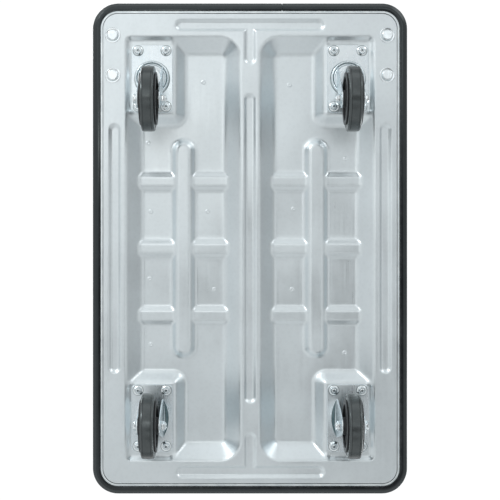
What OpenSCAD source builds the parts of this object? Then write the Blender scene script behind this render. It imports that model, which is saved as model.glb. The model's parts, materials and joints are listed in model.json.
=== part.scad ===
// Folding platform trolley. A two-layer pressed steel deck with a rubber bumper rolls on two
// swivel casters under the handle end and two fixed casters under the far end. The push handle
// folds flat on the deck, and a drop bar in its legs locks it upright.
// X runs across the deck, Y along it with the handle end at -Y, and Z up from the floor.

/* [Deck] */
// Width over the bumper
deck_w = 472; // [440:1:560]
// Length over the bumper
deck_l = 736; // [690:1:900]
// Corner radius of the bumper's outer face
corner_r = 38; // [32:1:48]
// How far the bumper stands out from the deck's rim
bumper_t = 10.5; // [9:0.5:13]
// Rounding of the bumper's outer edges
bumper_round = 4; // [3:0.25:4.5]
// How far the bumper's lips reach in over the rim
bumper_lip = 1; // [0.5:0.25:2]
// Thickness of the bumper's lips
bumper_lip_t = 2; // [1.5:0.25:4]
// Gap where the two ends of the bumper strip meet
bumper_seam = 0.8; // [0.4:0.1:2]
// Distance of that seam from the deck's middle line
bumper_seam_x = 48; // [0:1:120]
// Sheet thickness of the pressed pan
pan_t = 1.2; // [0.8:0.1:2]
// Sheet thickness of the deck plate
plate_t = 1.5; // [1:0.1:2.5]
// Width of the hem that folds in under the pan's edge
hem_w = 4.5; // [3:0.5:6]
// Thickness of the mat
mat_t = 2.5; // [1.5:0.5:4]

/* [Pressing] */
// Flat border between the rim and the pans
border_w = 39.5; // [37:0.5:44]
// Flat spine between the two pans
spine_w = 29; // [26:0.5:40]
// Depth of the pans below the border
pan_depth = 21; // [16:0.5:28]
// Width of the pans' sloped walls, seen from below
pan_wall_run = 25; // [18:0.5:28]
// Corner radius of the pans' floors
pan_floor_r = 6; // [3:0.5:12]
// Depth of the caster pads below the border
pad_depth = 5; // [3:0.5:8]
// Width of the caster pads' sloped walls
pad_wall_run = 17; // [12:0.5:20]
// Corner radius of the caster pads' flats
pad_corner_r = 3; // [1:0.5:6]
// Corner radius of the recesses that the casters' plates sit in
recess_r = 2; // [1:0.5:5]
// How far those recesses stand out past the pans' edges
recess_step = 0.6; // [0.4:0.1:1.2]
// Width of flat pad left round a caster's plate
pad_margin = 3.5; // [2:0.5:6]
// Width of the long ridge in each pan
ridge_w = 40.5; // [34:0.5:46]
// Length of the long ridge in each pan
ridge_l = 336; // [280:1:344]
// Height of the ridge above the pan's floor
ridge_h = 9; // [7:0.5:12]
// Width of the ridge's sloped walls
ridge_wall_run = 10.5; // [7:0.5:13]
// Number of cross ribs in each pan
rib_count = 3; // [1:1:4]
// Distance from rib to rib
rib_pitch = 101.5; // [70:0.5:104]
// Width of a cross rib
rib_w = 31; // [24:0.5:36]
// Height of a cross rib above the pan's floor
rib_h = 6; // [3:0.5:6.5]
// Width of a cross rib's sloped walls
rib_wall_run = 8; // [5:0.5:10]
// Depth of the border beads
bead_depth = 3; // [2:0.25:5]
// Width of a bead's sloped walls
bead_wall_run = 4; // [2.5:0.25:6.5]
// Width of the beads
bead_w = 18; // [15:0.5:20]
// Distance from the rim to the middle of a side bead
side_bead_inset = 22.5; // [18:0.5:24]
// Length of the two side beads
side_bead_l = 374; // [300:1:400]
// Length of the bead along the spine
spine_bead_l = 464; // [400:1:480]
// Length of the two end beads
end_bead_l = 224; // [180:1:260]
// Distance from the rim to the middle of an end bead
end_bead_inset = 22.5; // [18:0.5:25]
// How far the end beads' stubs reach along the spine
end_stub_l = 50; // [40:1:68]

/* [Casters] */
// Distance of the casters from the bumper's side faces
caster_side_inset = 89; // [86:0.5:92]
// Distance of the casters from the bumper's end faces
caster_end_inset = 113; // [108:0.5:118]
// Height of a caster from the floor to its seat
caster_h = 124; // [120:0.5:140]
// Wheel diameter
wheel_d = 94; // [88:1:100]
// Width of the tyre's tread
tread_w = 19; // [16:0.5:23]
// Rounding of the tyre's shoulders
tread_round = 3; // [2:0.5:6]
// Height of the tyre outside the wheel's rim
tyre_h = 9; // [6:0.5:12]
// Depth of the groove that holds the tyre
tyre_groove = 2.5; // [1.5:0.5:4]
// Width of the wheel's rim and hub
core_w = 28; // [26:0.5:32]
// Thickness of the wheel's rim ring under the tyre groove
core_rim_t = 4; // [3:0.5:6]
// Thickness of the wheel's web
web_t = 7; // [4:0.5:12]
// Number of ribs on each face of the web
web_rib_count = 6; // [4:1:10]
// Thickness of those ribs
web_rib_t = 3; // [2:0.5:5]
// Diameter of the wheel's hub
hub_d = 25; // [20:0.5:30]
// How far a swivel wheel trails behind its kingpin
trail = 40; // [32:0.5:44]
// Diameter of the swivel head
head_d = 51; // [48:0.5:56]
// Sheet thickness of the forks
fork_t = 2.5; // [2:0.25:3.5]
// Radius of the fork's end round the axle
fork_end_r = 13; // [11:0.5:16]
// Width of a fork leg where it leaves the swivel head
fork_root_l = 33; // [26:0.5:35]
// Width of a fixed bracket's leg where it leaves the plate
fixed_root_l = 58; // [50:1:72]
// Bend radius between a fixed bracket's plate and legs
fixed_bend_r = 7; // [3:0.5:8]
// Width of the casters' plates
seat_w = 62; // [58:0.5:66]
// Length of the casters' plates
seat_l = 101; // [98:0.5:106]
// Thickness of the casters' plates
seat_t = 3; // [2.5:0.25:4]
// Corner radius of the casters' plates
seat_r = 8; // [4:0.5:10]
// Spacing of the caster bolts across the deck
seat_pitch_x = 42; // [40:0.5:44]
// Spacing of the caster bolts along the deck
seat_pitch_y = 84; // [80:0.5:86]
// Diameter of the caster bolts
seat_bolt_d = 6; // [5:0.5:8]
// Diameter of the axle bolts
axle_d = 8; // [6:0.5:10]
// Outer diameter of the axle sleeves
sleeve_d = 12; // [11.5:0.5:15]
// Diameter of the kingpins
kingpin_d = 10; // [8:0.5:12]
// Diameter of the upper bearing balls
ball_d = 5; // [4:0.5:6]
// Number of upper bearing balls
ball_count = 16; // [8:1:18]
// Diameter of the circle of upper bearing balls
ball_circle_d = 37; // [34:0.5:38]
// Diameter of the lower bearing balls
small_ball_d = 4; // [3:0.5:4.5]
// Number of lower bearing balls
small_ball_count = 12; // [6:1:12]
// Diameter of the circle of lower bearing balls
small_circle_d = 21; // [20:0.5:22]
// Thickness of the lower race caps
cap_t = 2; // [1.5:0.25:3]

/* [Handle] */
// Diameter of the handle's tube
tube_d = 22; // [19:0.5:24]
// Wall of the handle's tube
tube_wall = 1.5; // [1:0.1:2.5]
// Length of the handle from its pivot to the cross tube
handle_len = 616; // [560:1:624]
// Bend radius of the handle's corners, at the middle of the tube
bend_r = 55; // [40:1:80]
// Diameter of the rubber grip
grip_d = 30; // [27:0.5:34]
// Length of the rubber grip
grip_l = 280; // [120:1:290]
// Clear height of the folded grip above the mat
fold_clear = 2.6; // [2.4:0.1:6]
// Distance of the handle's legs from the bumper's side faces
leg_side_inset = 30; // [30:0.5:32]
// Distance of the pivot from the bumper's end face
pivot_end_inset = 78; // [74:0.5:82]
// Diameter of the pivot bolts
pivot_d = 8; // [6:0.5:10]
// Sheet thickness of the handle brackets
bracket_t = 2.5; // [2:0.25:3]
// Radius of a bracket's ears about the pivot
ear_r = 46; // [44:0.5:50]
// Spacing of a bracket's bolts along the deck
bracket_pitch = 60; // [56:0.5:64]
// Diameter of the bracket bolts
bracket_bolt_d = 8; // [6:0.5:9]
// Diameter of the bracket bolts' heads
bracket_head_d = 16; // [14:0.5:18]
// Diameter of the washers under those heads
bracket_washer_d = 23; // [19:0.5:24]
// Diameter of the stop pin behind each leg
stop_d = 8; // [6:0.5:10]
// Height of the stop pins above the pivot
stop_h = 26; // [24:0.5:28]
// Diameter of the drop bar
bar_d = 10; // [8:0.5:12]
// Distance that the drop bar falls into its notches
bar_drop = 14; // [12:0.5:15]
// Diameter of the foot sleeve on the drop bar
foot_d = 20; // [16:0.5:24]
// Length of the foot sleeve on the drop bar
foot_l = 160; // [80:1:240]
// Diameter of the rubber buffers under the folded legs
buffer_d = 18; // [14:0.5:22]
// Distance from the pivot to the rubber buffers
buffer_reach = 500; // [400:1:530]

/* [Hidden] */
$fn = 64;

// Fits: radial running gap, gap at a seat, radial gap in bolt holes, gap of a loose slide,
// and room round moving pieces
run_gap = 0.06;
seat_gap = 0.1;
bolt_gap = 0.2;
slide_gap = 0.3;
free_gap = 0.5;
// How far a cutting form runs past the face that it cuts
over = 1;
// Proportions of bolts and nuts, as multiples of the bolt's diameter
hex_ratio = 1.6;
head_ratio = 0.65;
nut_ratio = 1;
lock_nut_ratio = 0.8;
thin_nut_ratio = 0.45;
flange_ratio = 2.4;
flange_t_ratio = 0.2;
// Share of a sleeve's wall that its ends are rounded by
end_round_share = 0.6;

// Levels from the floor up
pad_z = caster_h;
border_z = pad_z - pad_depth;
floor_z = border_z + pan_depth;
hem_z = border_z - plate_t;
plate_z = floor_z + pan_t;
plate_top = plate_z + plate_t;
mat_top = plate_top + mat_t;
axle_z = wheel_d / 2;

// Deck outline
rim_w = deck_w - 2 * bumper_t;
rim_l = deck_l - 2 * bumper_t;
rim_r = corner_r - bumper_t;
mat_inset = bumper_lip + seat_gap;

// Pans
pan_w = (rim_w - spine_w) / 2 - border_w;
pan_l = rim_l - 2 * border_w;
pan_x = (spine_w + pan_w) / 2;
bury = pan_t / 2;

// Casters
caster_x = deck_w / 2 - caster_side_inset;
caster_y = deck_l / 2 - caster_end_inset;
seat_z = pad_z - seat_t;
pad_flat_x = caster_x - seat_w / 2 - pad_margin;
pad_flat_y = caster_y - seat_l / 2 - pad_margin;
// Run of a recess's wall for each millimetre of its depth, the pan wall's to two decimals
recess_draft = round(100 * pan_wall_run / pan_depth) / 100;
nut_flange_d = flange_ratio * seat_bolt_d;
nut_flange_t = flange_t_ratio * seat_bolt_d;
seat_hex_w = hex_ratio * seat_bolt_d;
seat_nut_h = nut_ratio * seat_bolt_d;
seat_head_h = head_ratio * seat_bolt_d;

// Swivel head, with its two rows of balls
groove_depth = 0.7;
crown_top = seat_z - (ball_d - 2 * groove_depth) - 2 * seat_gap;
crown_z = crown_top - fork_t;
ball_z = crown_top - groove_depth + seat_gap + ball_d / 2;
small_ball_z = crown_z + groove_depth - seat_gap - small_ball_d / 2;
cap_top = crown_z - (small_ball_d - 2 * groove_depth) - 2 * seat_gap;
cap_rim = 3.25;
cap_d = small_circle_d + 2 * cap_rim;
pin_head_rim = 3;
pin_head_d = kingpin_d + 2 * pin_head_rim;
pin_head_h = 2.6;

// Wheels and axles
hub_play = 0.6;
fork_gap = core_w + 2 * hub_play;
fork_outer = fork_gap + 2 * fork_t;
rim_radius = wheel_d / 2 - tyre_h;
groove_radius = rim_radius - tyre_groove;
axle_head_w = hex_ratio * axle_d;
axle_head_h = head_ratio * axle_d;
axle_nut_h = nut_ratio * axle_d;

// Handle
leg_x = deck_w / 2 - leg_side_inset;
pivot_y = pivot_end_inset - deck_l / 2;
pivot_z = mat_top + fold_clear + grip_d / 2;
cross_y = pivot_y + handle_len;
leg_end_extra = 3.2;
leg_end_r = tube_d / 2 + leg_end_extra;
ear_gap = tube_d + 2 * free_gap;
ear_outer = ear_gap + 2 * bracket_t;
base_top = plate_top + bracket_t;
base_margin = 18;
base_r = 6;
base_l = bracket_pitch + 2 * base_margin;
bar_reach = ear_r + free_gap + bar_d / 2;
bar_low = bar_reach - bar_drop;
notch_w = bar_d + 2 * free_gap;
slot_w = bar_d + 2 * slide_gap;
ring_wall = 3;
ring_d = bar_d + 2 * ring_wall;
ring_t = 4;
bar_l = 2 * (leg_x + ear_outer / 2 + free_gap + ring_t);
stop_y = -(tube_d / 2 + free_gap + stop_d / 2);
bracket_nut_h = thin_nut_ratio * bracket_bolt_d;
bracket_nut_w = hex_ratio * bracket_bolt_d;
bracket_washer_t = 1.2;
bracket_head_h = 3.2;
spacer_wall = 3;
spacer_d = bracket_bolt_d + 2 * spacer_wall;
buffer_taper = 3;
pivot_head_w = hex_ratio * pivot_d;
pivot_head_h = head_ratio * pivot_d;
pivot_nut_h = lock_nut_ratio * pivot_d;

zinc = [0.78, 0.79, 0.80];
bright_zinc = [0.70, 0.73, 0.76];
rubber = [0.09, 0.09, 0.10];
plastic = [0.16, 0.16, 0.17];
tube_grey = [0.60, 0.61, 0.63];

// Places and repeats

module both_sides() {
    for (side = [-1, 1]) scale_x(side) children();
}

module scale_x(side) {
    if (side < 0) mirror([1, 0, 0]) children();
    else children();
}

module at_swivel(side) {
    scale_x(side) translate([caster_x, -caster_y, 0]) children();
}

module at_fixed(side) {
    scale_x(side) translate([caster_x, caster_y, 0]) children();
}

module at_swivel_axle(side) {
    at_swivel(side) translate([0, trail, axle_z]) rotate([0, 90, 0]) children();
}

module at_fixed_axle(side) {
    at_fixed(side) translate([0, 0, axle_z]) rotate([0, 90, 0]) children();
}

module at_seat_bolts() {
    for (x = [-1, 1], y = [-1, 1])
        translate([x * seat_pitch_x / 2, y * seat_pitch_y / 2, 0]) children();
}

module at_casters() {
    for (side = [-1, 1]) {
        at_swivel(side) children();
        at_fixed(side) children();
    }
}

module at_pivot(side) {
    scale_x(side) translate([leg_x, pivot_y, pivot_z]) children();
}

module at_bracket_bolts(side) {
    for (y = [-1, 1])
        scale_x(side) translate([leg_x, pivot_y + y * bracket_pitch / 2, 0]) children();
}

module at_buffers() {
    both_sides() translate([leg_x, pivot_y + buffer_reach, 0]) children();
}

// Plain forms

module rod(d, h) {
    cylinder(d = d, h = h);
}

module tube(outer_d, inner_d, h) {
    difference() {
        rod(outer_d, h);
        translate([0, 0, -over]) rod(inner_d, h + 2 * over);
    }
}

// A tube along Z whose outer edges are rounded at both ends
module soft_sleeve(outer_d, inner_d, l) {
    r = end_round_share * (outer_d - inner_d) / 2;
    difference() {
        rotate_extrude() {
            square([outer_d / 2 - r, l]);
            translate([0, r]) square([outer_d / 2, l - 2 * r]);
            for (z = [r, l - r]) translate([outer_d / 2 - r, z]) circle(r);
        }
        translate([0, 0, -over]) rod(inner_d, l + 2 * over);
    }
}

module cross_rod(d, l) {
    rotate([0, 90, 0]) translate([0, 0, -l / 2]) rod(d, l);
}

module hexagon(across_flats, h) {
    cylinder(d = across_flats / cos(30), h = h, $fn = 6);
}

module rounded_rect(w, l, r) {
    square([w - 2 * r, l], center = true);
    square([w, l - 2 * r], center = true);
    for (x = [-1, 1], y = [-1, 1])
        translate([x * (w / 2 - r), y * (l / 2 - r)]) circle(r);
}

module rounded_slab(w, l, r, z, h) {
    translate([0, 0, z]) linear_extrude(h) rounded_rect(w, l, r);
}

// A block with sloped walls and cone corners. Its outline is w by l at z = 0, where the corner
// radius is top_r + run, and run smaller on each side at z = h. It carries on below z = 0.
module drafted_block(w, l, top_r, h, run) {
    slope = run / h;
    foot = run + slope * bury;
    tall = h + bury;
    half_w = w / 2 + slope * bury;
    half_l = l / 2 + slope * bury;
    r = top_r + foot;
    translate([0, 0, -bury]) {
        for (x = [-1, 1], y = [-1, 1])
            translate([x * (half_w - r), y * (half_l - r), 0]) cylinder(r1 = r, r2 = top_r, h = tall);
        rotate([90, 0, 0])
            linear_extrude(2 * (half_l - r), center = true) drafted_face(half_w, tall, foot);
        rotate([90, 0, 90])
            linear_extrude(2 * (half_w - r), center = true) drafted_face(half_l, tall, foot);
    }
}

// The same with full-round ends, w wide and l long along Y at z = 0.
module drafted_slot(w, l, h, run) {
    slope = run / h;
    foot = run + slope * bury;
    r = w / 2 + slope * bury;
    reach = (l - w) / 2;
    translate([0, 0, -bury]) {
        for (y = [-1, 1])
            translate([0, y * reach, 0]) cylinder(r1 = r, r2 = r - foot, h = h + bury);
        rotate([90, 0, 0]) linear_extrude(2 * reach, center = true) drafted_face(r, h + bury, foot);
    }
}

module drafted_face(half, tall, foot) {
    polygon([[-half, 0], [half, 0], [half - foot, tall], [foot - half, tall]]);
}

// Pressed under-pan

module pan_hollow() {
    difference() {
        union() {
            translate([pan_x, 0, border_z])
                drafted_block(pan_w, pan_l, pan_floor_r, pan_depth, pan_wall_run);
            for (y = [-1, 1]) pad_recess(y);
        }
        for (y = [-1, 1]) pan_pad(y);
        translate([pan_x, 0, floor_z]) mirror([0, 0, 1])
            drafted_slot(ridge_w, ridge_l, ridge_h, ridge_wall_run);
        for (i = [0 : rib_count - 1])
            translate([pan_x, (i - (rib_count - 1) / 2) * rib_pitch, floor_z + bury]) pan_rib();
    }
}

module pan_pad(y) {
    inner_x = pad_flat_x - pad_wall_run;
    inner_y = pad_flat_y - pad_wall_run;
    w = rim_w / 2 - inner_x;
    l = rim_l / 2 - inner_y;
    translate([inner_x + w / 2, y * (inner_y + l / 2), floor_z]) mirror([0, 0, 1])
        drafted_block(w, l, pad_corner_r, pan_depth - pad_depth, pad_wall_run);
}

// The outer corner of a pan, tighter than its other corners, cut deeper than the pad that closes it
module pad_recess(y) {
    h = pad_depth + bury;
    w = pan_x + pan_w / 2 + recess_step - pad_flat_x;
    l = pan_l / 2 + recess_step - pad_flat_y;
    translate([pad_flat_x + w / 2, y * (pad_flat_y + l / 2), border_z])
        drafted_block(w, l, recess_r, h, recess_draft * h);
}

module pan_rib() {
    tall = rib_h + bury;
    foot = rib_wall_run * tall / rib_h;
    half = rib_w / 2 + foot - rib_wall_run;
    rotate([90, 0, 90]) linear_extrude(pan_w, center = true) mirror([0, 1]) drafted_face(half, tall, foot);
}

module bead(l) {
    translate([0, 0, border_z]) drafted_slot(bead_w, l, bead_depth, bead_wall_run);
}

module border_beads() {
    both_sides() translate([rim_w / 2 - side_bead_inset, 0, 0]) bead(side_bead_l);
    bead(spine_bead_l);
    for (y = [-1, 1]) translate([0, y * (rim_l / 2 - end_bead_inset), 0]) {
        rotate([0, 0, 90]) bead(end_bead_l);
        translate([0, -y * end_stub_l / 2, 0]) bead(end_stub_l + bead_w);
    }
}

module pan_hollows() {
    both_sides() pan_hollow();
    border_beads();
}

module under_pan() {
    inset = plate_t + seat_gap;
    color(zinc) difference() {
        union() {
            rounded_slab(rim_w - 2 * inset, rim_l - 2 * inset, rim_r - inset, border_z, pan_t);
            translate([0, 0, pan_t]) pan_hollows();
        }
        pan_hollows();
        at_casters() at_seat_bolts()
            translate([0, 0, pad_z - over]) rod(seat_bolt_d + 2 * bolt_gap, 2 * over + pan_t);
        for (side = [-1, 1]) at_bracket_bolts(side)
            translate([0, 0, border_z - over]) rod(bracket_bolt_d + 2 * bolt_gap, 2 * over + pan_t);
    }
}

// Deck

module deck_plate() {
    color(zinc) difference() {
        rounded_slab(rim_w, rim_l, rim_r, hem_z, plate_top - hem_z);
        rim_inset_slab(plate_t, border_z, plate_z - border_z);
        rim_inset_slab(hem_w, hem_z - over, plate_t + 2 * over);
        for (side = [-1, 1]) at_bracket_bolts(side)
            translate([0, 0, plate_z - over]) rod(bracket_bolt_d + 2 * bolt_gap, plate_t + 2 * over);
    }
}

module rim_inset_slab(inset, z, h) {
    rounded_slab(rim_w - 2 * inset, rim_l - 2 * inset, rim_r - inset, z, h);
}

module deck_mat() {
    cut_x = leg_x - ear_outer / 2 - free_gap;
    cut_l = base_l + 2 * free_gap;
    color(rubber) difference() {
        rim_inset_slab(mat_inset, plate_top, mat_t);
        both_sides() translate([cut_x, pivot_y - cut_l / 2, plate_top - over])
            cube([rim_w / 2 - cut_x, cut_l, mat_t + 2 * over]);
        at_buffers() translate([0, 0, plate_top - over]) rod(buffer_d + 2 * free_gap, mat_t + 2 * over);
    }
}

module bumper_profile() {
    low = hem_z - bumper_lip_t;
    high = plate_top + bumper_lip_t;
    round_u = bumper_t - bumper_round;
    translate([seat_gap, low]) square([round_u - seat_gap, high - low]);
    translate([seat_gap, low + bumper_round]) square([bumper_t - seat_gap, high - low - 2 * bumper_round]);
    for (z = [low + bumper_round, high - bumper_round]) translate([round_u, z]) circle(bumper_round);
    for (z = [low, plate_top + seat_gap])
        translate([-bumper_lip, z]) square([bumper_lip + round_u, bumper_lip_t - seat_gap]);
}

module bumper_run(out, l) {
    for (turn = [0, 180]) rotate([0, 0, turn]) translate([out, 0, 0])
        rotate([90, 0, 0]) linear_extrude(l, center = true) bumper_profile();
}

module bumper() {
    corner_x = rim_w / 2 - rim_r;
    corner_y = rim_l / 2 - rim_r;
    color(rubber) difference() {
        union() {
            bumper_run(rim_w / 2, 2 * corner_y);
            rotate([0, 0, 90]) bumper_run(rim_l / 2, 2 * corner_x);
            for (turn = [0, 180]) rotate([0, 0, turn]) {
                translate([corner_x, corner_y, 0]) bumper_corner();
                translate([-corner_x, corner_y, 0]) rotate([0, 0, 90]) bumper_corner();
            }
        }
        translate([bumper_seam_x - bumper_seam / 2, -deck_l / 2 - over, 0])
            cube([bumper_seam, bumper_t + bumper_lip + 2 * over, plate_top + 2 * bumper_lip_t]);
    }
}

module bumper_corner() {
    rotate_extrude(angle = 90) translate([rim_r, 0]) bumper_profile();
}

module rest_buffers() {
    tall = pivot_z - tube_d / 2 - slide_gap - plate_top;
    color(rubber) at_buffers() translate([0, 0, plate_top])
        cylinder(d1 = buffer_d, d2 = buffer_d - buffer_taper, h = tall);
}

// Handle brackets

module ear_profile() {
    foot = plate_top - pivot_z;
    difference() {
        intersection() {
            circle(ear_r);
            translate([-ear_r, foot]) square([2 * ear_r, ear_r - foot]);
        }
        for (turn = [0, 90]) rotate(turn) {
            translate([bar_low, 0]) circle(d = notch_w);
            translate([bar_low, -notch_w / 2]) square([ear_r, notch_w]);
        }
        circle(d = pivot_d + 2 * bolt_gap);
        translate([stop_y, stop_h]) circle(d = stop_d + 2 * seat_gap);
    }
}

module bracket(side) {
    color(bright_zinc) difference() {
        at_pivot(side) {
            for (x = [-ear_outer / 2, ear_gap / 2])
                translate([x, 0, 0]) rotate([90, 0, 90]) linear_extrude(bracket_t) ear_profile();
            rounded_slab(ear_outer, base_l, base_r, plate_top - pivot_z, bracket_t);
        }
        at_bracket_bolts(side) translate([0, 0, plate_top - over])
            rod(bracket_bolt_d + 2 * bolt_gap, bracket_t + 2 * over);
    }
}

module dome(d, h) {
    r = (d * d / 4 + h * h) / (2 * h);
    intersection() {
        translate([0, 0, h - r]) sphere(r);
        rod(d, h);
    }
}

module bracket_bolts() {
    head_z = border_z - bracket_washer_t;
    color(bright_zinc) for (side = [-1, 1]) at_bracket_bolts(side) {
        translate([0, 0, head_z]) rod(bracket_bolt_d, base_top + bracket_nut_h + free_gap - head_z);
        translate([0, 0, head_z]) mirror([0, 0, 1]) dome(bracket_head_d, bracket_head_h);
    }
}

module bracket_washers() {
    color(zinc) for (side = [-1, 1]) at_bracket_bolts(side)
        translate([0, 0, border_z - bracket_washer_t])
            tube(bracket_washer_d, bracket_bolt_d + 2 * bolt_gap, bracket_washer_t);
}

module bracket_spacers() {
    color(zinc) for (side = [-1, 1]) at_bracket_bolts(side)
        translate([0, 0, border_z + pan_t])
            tube(spacer_d, bracket_bolt_d + 2 * bolt_gap, plate_z - border_z - pan_t);
}

module hex_nut(across_flats, bore_d, h) {
    difference() {
        hexagon(across_flats, h);
        translate([0, 0, -over]) rod(bore_d, h + 2 * over);
    }
}

module bracket_nuts() {
    color(bright_zinc) for (side = [-1, 1]) at_bracket_bolts(side)
        translate([0, 0, base_top]) hex_nut(bracket_nut_w, bracket_bolt_d + 2 * seat_gap, bracket_nut_h);
}

module stop_pins() {
    color(bright_zinc) for (side = [-1, 1])
        at_pivot(side) translate([0, stop_y, stop_h]) cross_rod(stop_d, ear_outer);
}

module cross_bolt(d, grip, head_w, head_h, tail) {
    rotate([0, 90, 0]) {
        translate([0, 0, -grip / 2 - tail]) rod(d, grip + tail + head_h / 2);
        translate([0, 0, grip / 2]) hexagon(head_w, head_h);
    }
}

module cross_nut(d, grip, w, h) {
    rotate([0, 90, 0]) translate([0, 0, -grip / 2 - h]) hex_nut(w, d + 2 * seat_gap, h);
}

module pivot_bolts() {
    color(bright_zinc) for (side = [-1, 1]) at_pivot(side)
        cross_bolt(pivot_d, ear_outer, pivot_head_w, pivot_head_h, pivot_nut_h + over);
}

module pivot_nuts() {
    color(bright_zinc) for (side = [-1, 1]) at_pivot(side)
        cross_nut(pivot_d, ear_outer, pivot_head_w, pivot_nut_h);
}

// Casters

module seat_plate() {
    difference() {
        rounded_slab(seat_w, seat_l, seat_r, seat_z, seat_t);
        at_seat_bolts() translate([0, 0, seat_z - over]) rod(seat_bolt_d + 2 * bolt_gap, seat_t + 2 * over);
    }
}

module ball_track(circle_d, z, d) {
    rotate_extrude() translate([circle_d / 2, z]) circle(d = d + 2 * seat_gap);
}

module swivel_plate(side) {
    color(bright_zinc) at_swivel(side) difference() {
        seat_plate();
        translate([0, 0, seat_z - over]) rod(kingpin_d + 2 * seat_gap, seat_t + 2 * over);
        ball_track(ball_circle_d, ball_z, ball_d);
    }
}

module kingpin(side) {
    head_z = cap_top - cap_t - pin_head_h;
    color(bright_zinc) at_swivel(side) translate([0, 0, head_z]) {
        rod(kingpin_d, pad_z - head_z);
        rod(pin_head_d, pin_head_h);
    }
}

module race_cap(side) {
    color(bright_zinc) at_swivel(side) difference() {
        translate([0, 0, cap_top - cap_t]) tube(cap_d, kingpin_d + 2 * seat_gap, cap_t);
        ball_track(small_circle_d, small_ball_z, small_ball_d);
    }
}

module ball_row(count, circle_d, z, d) {
    for (i = [0 : count - 1])
        rotate([0, 0, i * 360 / count]) translate([circle_d / 2, 0, z]) sphere(d = d);
}

module bearing_balls(side) {
    color(bright_zinc) at_swivel(side) {
        ball_row(ball_count, ball_circle_d, ball_z, ball_d);
        ball_row(small_ball_count, small_circle_d, small_ball_z, small_ball_d);
    }
}

// The point where a line from p touches the circle round c, to the left (1) or right (-1)
function tangent_point(p, c, r, hand) =
    let (to = c - p, len = norm(to), turn = atan2(to.y, to.x) + hand * asin(r / len))
    p + sqrt(len * len - r * r) * [cos(turn), sin(turn)];

// Side view of a leg from its root down to the round end at the axle, in Y and Z
module leg_profile(root_l, root_z, axle_y) {
    back = [-root_l / 2, root_z];
    front = [root_l / 2, root_z];
    axle = [axle_y, axle_z];
    difference() {
        union() {
            polygon([
                back, tangent_point(back, axle, fork_end_r, -1), axle,
                tangent_point(front, axle, fork_end_r, 1), front
            ]);
            translate(axle) circle(fork_end_r);
        }
        translate(axle) circle(d = axle_d + 2 * bolt_gap);
    }
}

module legs(root_l, root_z, axle_y) {
    for (x = [-fork_outer / 2, fork_gap / 2]) translate([x, 0, 0])
        rotate([90, 0, 90]) linear_extrude(fork_t) leg_profile(root_l, root_z, axle_y);
}

module swivel_fork(side) {
    color(bright_zinc) at_swivel(side) {
        difference() {
            union() {
                translate([0, 0, crown_z]) tube(head_d, kingpin_d + 2 * run_gap, fork_t);
                translate([0, 0, crown_z]) tube(head_d, head_d - 2 * fork_t, seat_z - free_gap - crown_z);
            }
            ball_track(ball_circle_d, ball_z, ball_d);
            ball_track(small_circle_d, small_ball_z, small_ball_d);
        }
        legs(fork_root_l, crown_z + fork_t / 2, trail);
    }
}

module fixed_bracket(side) {
    bend_l = fixed_root_l - fixed_bend_r - over;
    color(bright_zinc) at_fixed(side) {
        seat_plate();
        legs(fixed_root_l, seat_z + seat_t / 2, 0);
        both_sides() translate([fork_outer / 2, 0, seat_z]) rotate([90, 0, 0])
            linear_extrude(bend_l, center = true) bend_fillet(fixed_bend_r);
    }
}

module bend_fillet(r) {
    translate([0, -r]) difference() {
        square(r);
        translate([r, 0]) circle(r);
    }
}

module axle_sleeve() {
    l = fork_gap - 2 * seat_gap;
    translate([0, 0, -l / 2]) tube(sleeve_d, axle_d + 2 * bolt_gap, l);
}

module axle_bolt() {
    rotate([0, -90, 0]) cross_bolt(axle_d, fork_outer, axle_head_w, axle_head_h, axle_nut_h + over);
}

module axle_nut() {
    rotate([0, -90, 0]) cross_nut(axle_d, fork_outer, axle_head_w, axle_nut_h);
}

module wheel_core() {
    rim_in = groove_radius - core_rim_t;
    hub_bore = sleeve_d / 2 + run_gap;
    web_rib_w = core_w - 2 * core_rim_t;
    rotate_extrude() difference() {
        union() {
            translate([hub_bore, -core_w / 2]) square([hub_d / 2 - hub_bore, core_w]);
            translate([hub_bore, -web_t / 2]) square([rim_in - hub_bore + over, web_t]);
            translate([rim_in, -core_w / 2]) square([rim_radius - rim_in, core_w]);
        }
        translate([groove_radius, -tread_w / 2 - seat_gap]) square([wheel_d, tread_w + 2 * seat_gap]);
    }
    for (i = [0 : web_rib_count - 1]) rotate([0, 0, i * 360 / web_rib_count])
        translate([hub_d / 2 - over, -web_rib_t / 2, -web_rib_w / 2])
            cube([rim_in - hub_d / 2 + 2 * over, web_rib_t, web_rib_w]);
}

module tyre() {
    r = wheel_d / 2;
    inner = groove_radius + seat_gap;
    rotate_extrude() {
        translate([inner, -tread_w / 2]) square([r - tread_round - inner, tread_w]);
        translate([inner, tread_round - tread_w / 2]) square([r - inner, tread_w - 2 * tread_round]);
        for (z = [-1, 1]) translate([r - tread_round, z * (tread_w / 2 - tread_round)]) circle(tread_round);
    }
}

module caster_bolts() {
    low = seat_z - seat_nut_h - over;
    color(bright_zinc) at_casters() at_seat_bolts() {
        translate([0, 0, low]) rod(seat_bolt_d, pad_z + pan_t - low + seat_head_h / 2);
        translate([0, 0, pad_z + pan_t]) hexagon(seat_hex_w, seat_head_h);
    }
}

module caster_nuts() {
    color(bright_zinc) at_casters() at_seat_bolts() {
        translate([0, 0, seat_z - nut_flange_t])
            tube(nut_flange_d, seat_bolt_d + 2 * seat_gap, nut_flange_t);
        translate([0, 0, seat_z - seat_nut_h])
            hex_nut(seat_hex_w, seat_bolt_d + 2 * seat_gap, seat_nut_h - nut_flange_t / 2);
    }
}

// Axle pieces and wheels in their places

module fixed_sleeves() {
    color(zinc) for (side = [-1, 1]) at_fixed_axle(side) axle_sleeve();
}

module fixed_axle_bolts() {
    color(bright_zinc) for (side = [-1, 1]) at_fixed_axle(side) axle_bolt();
}

module fixed_axle_nuts() {
    color(bright_zinc) for (side = [-1, 1]) at_fixed_axle(side) axle_nut();
}

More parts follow.
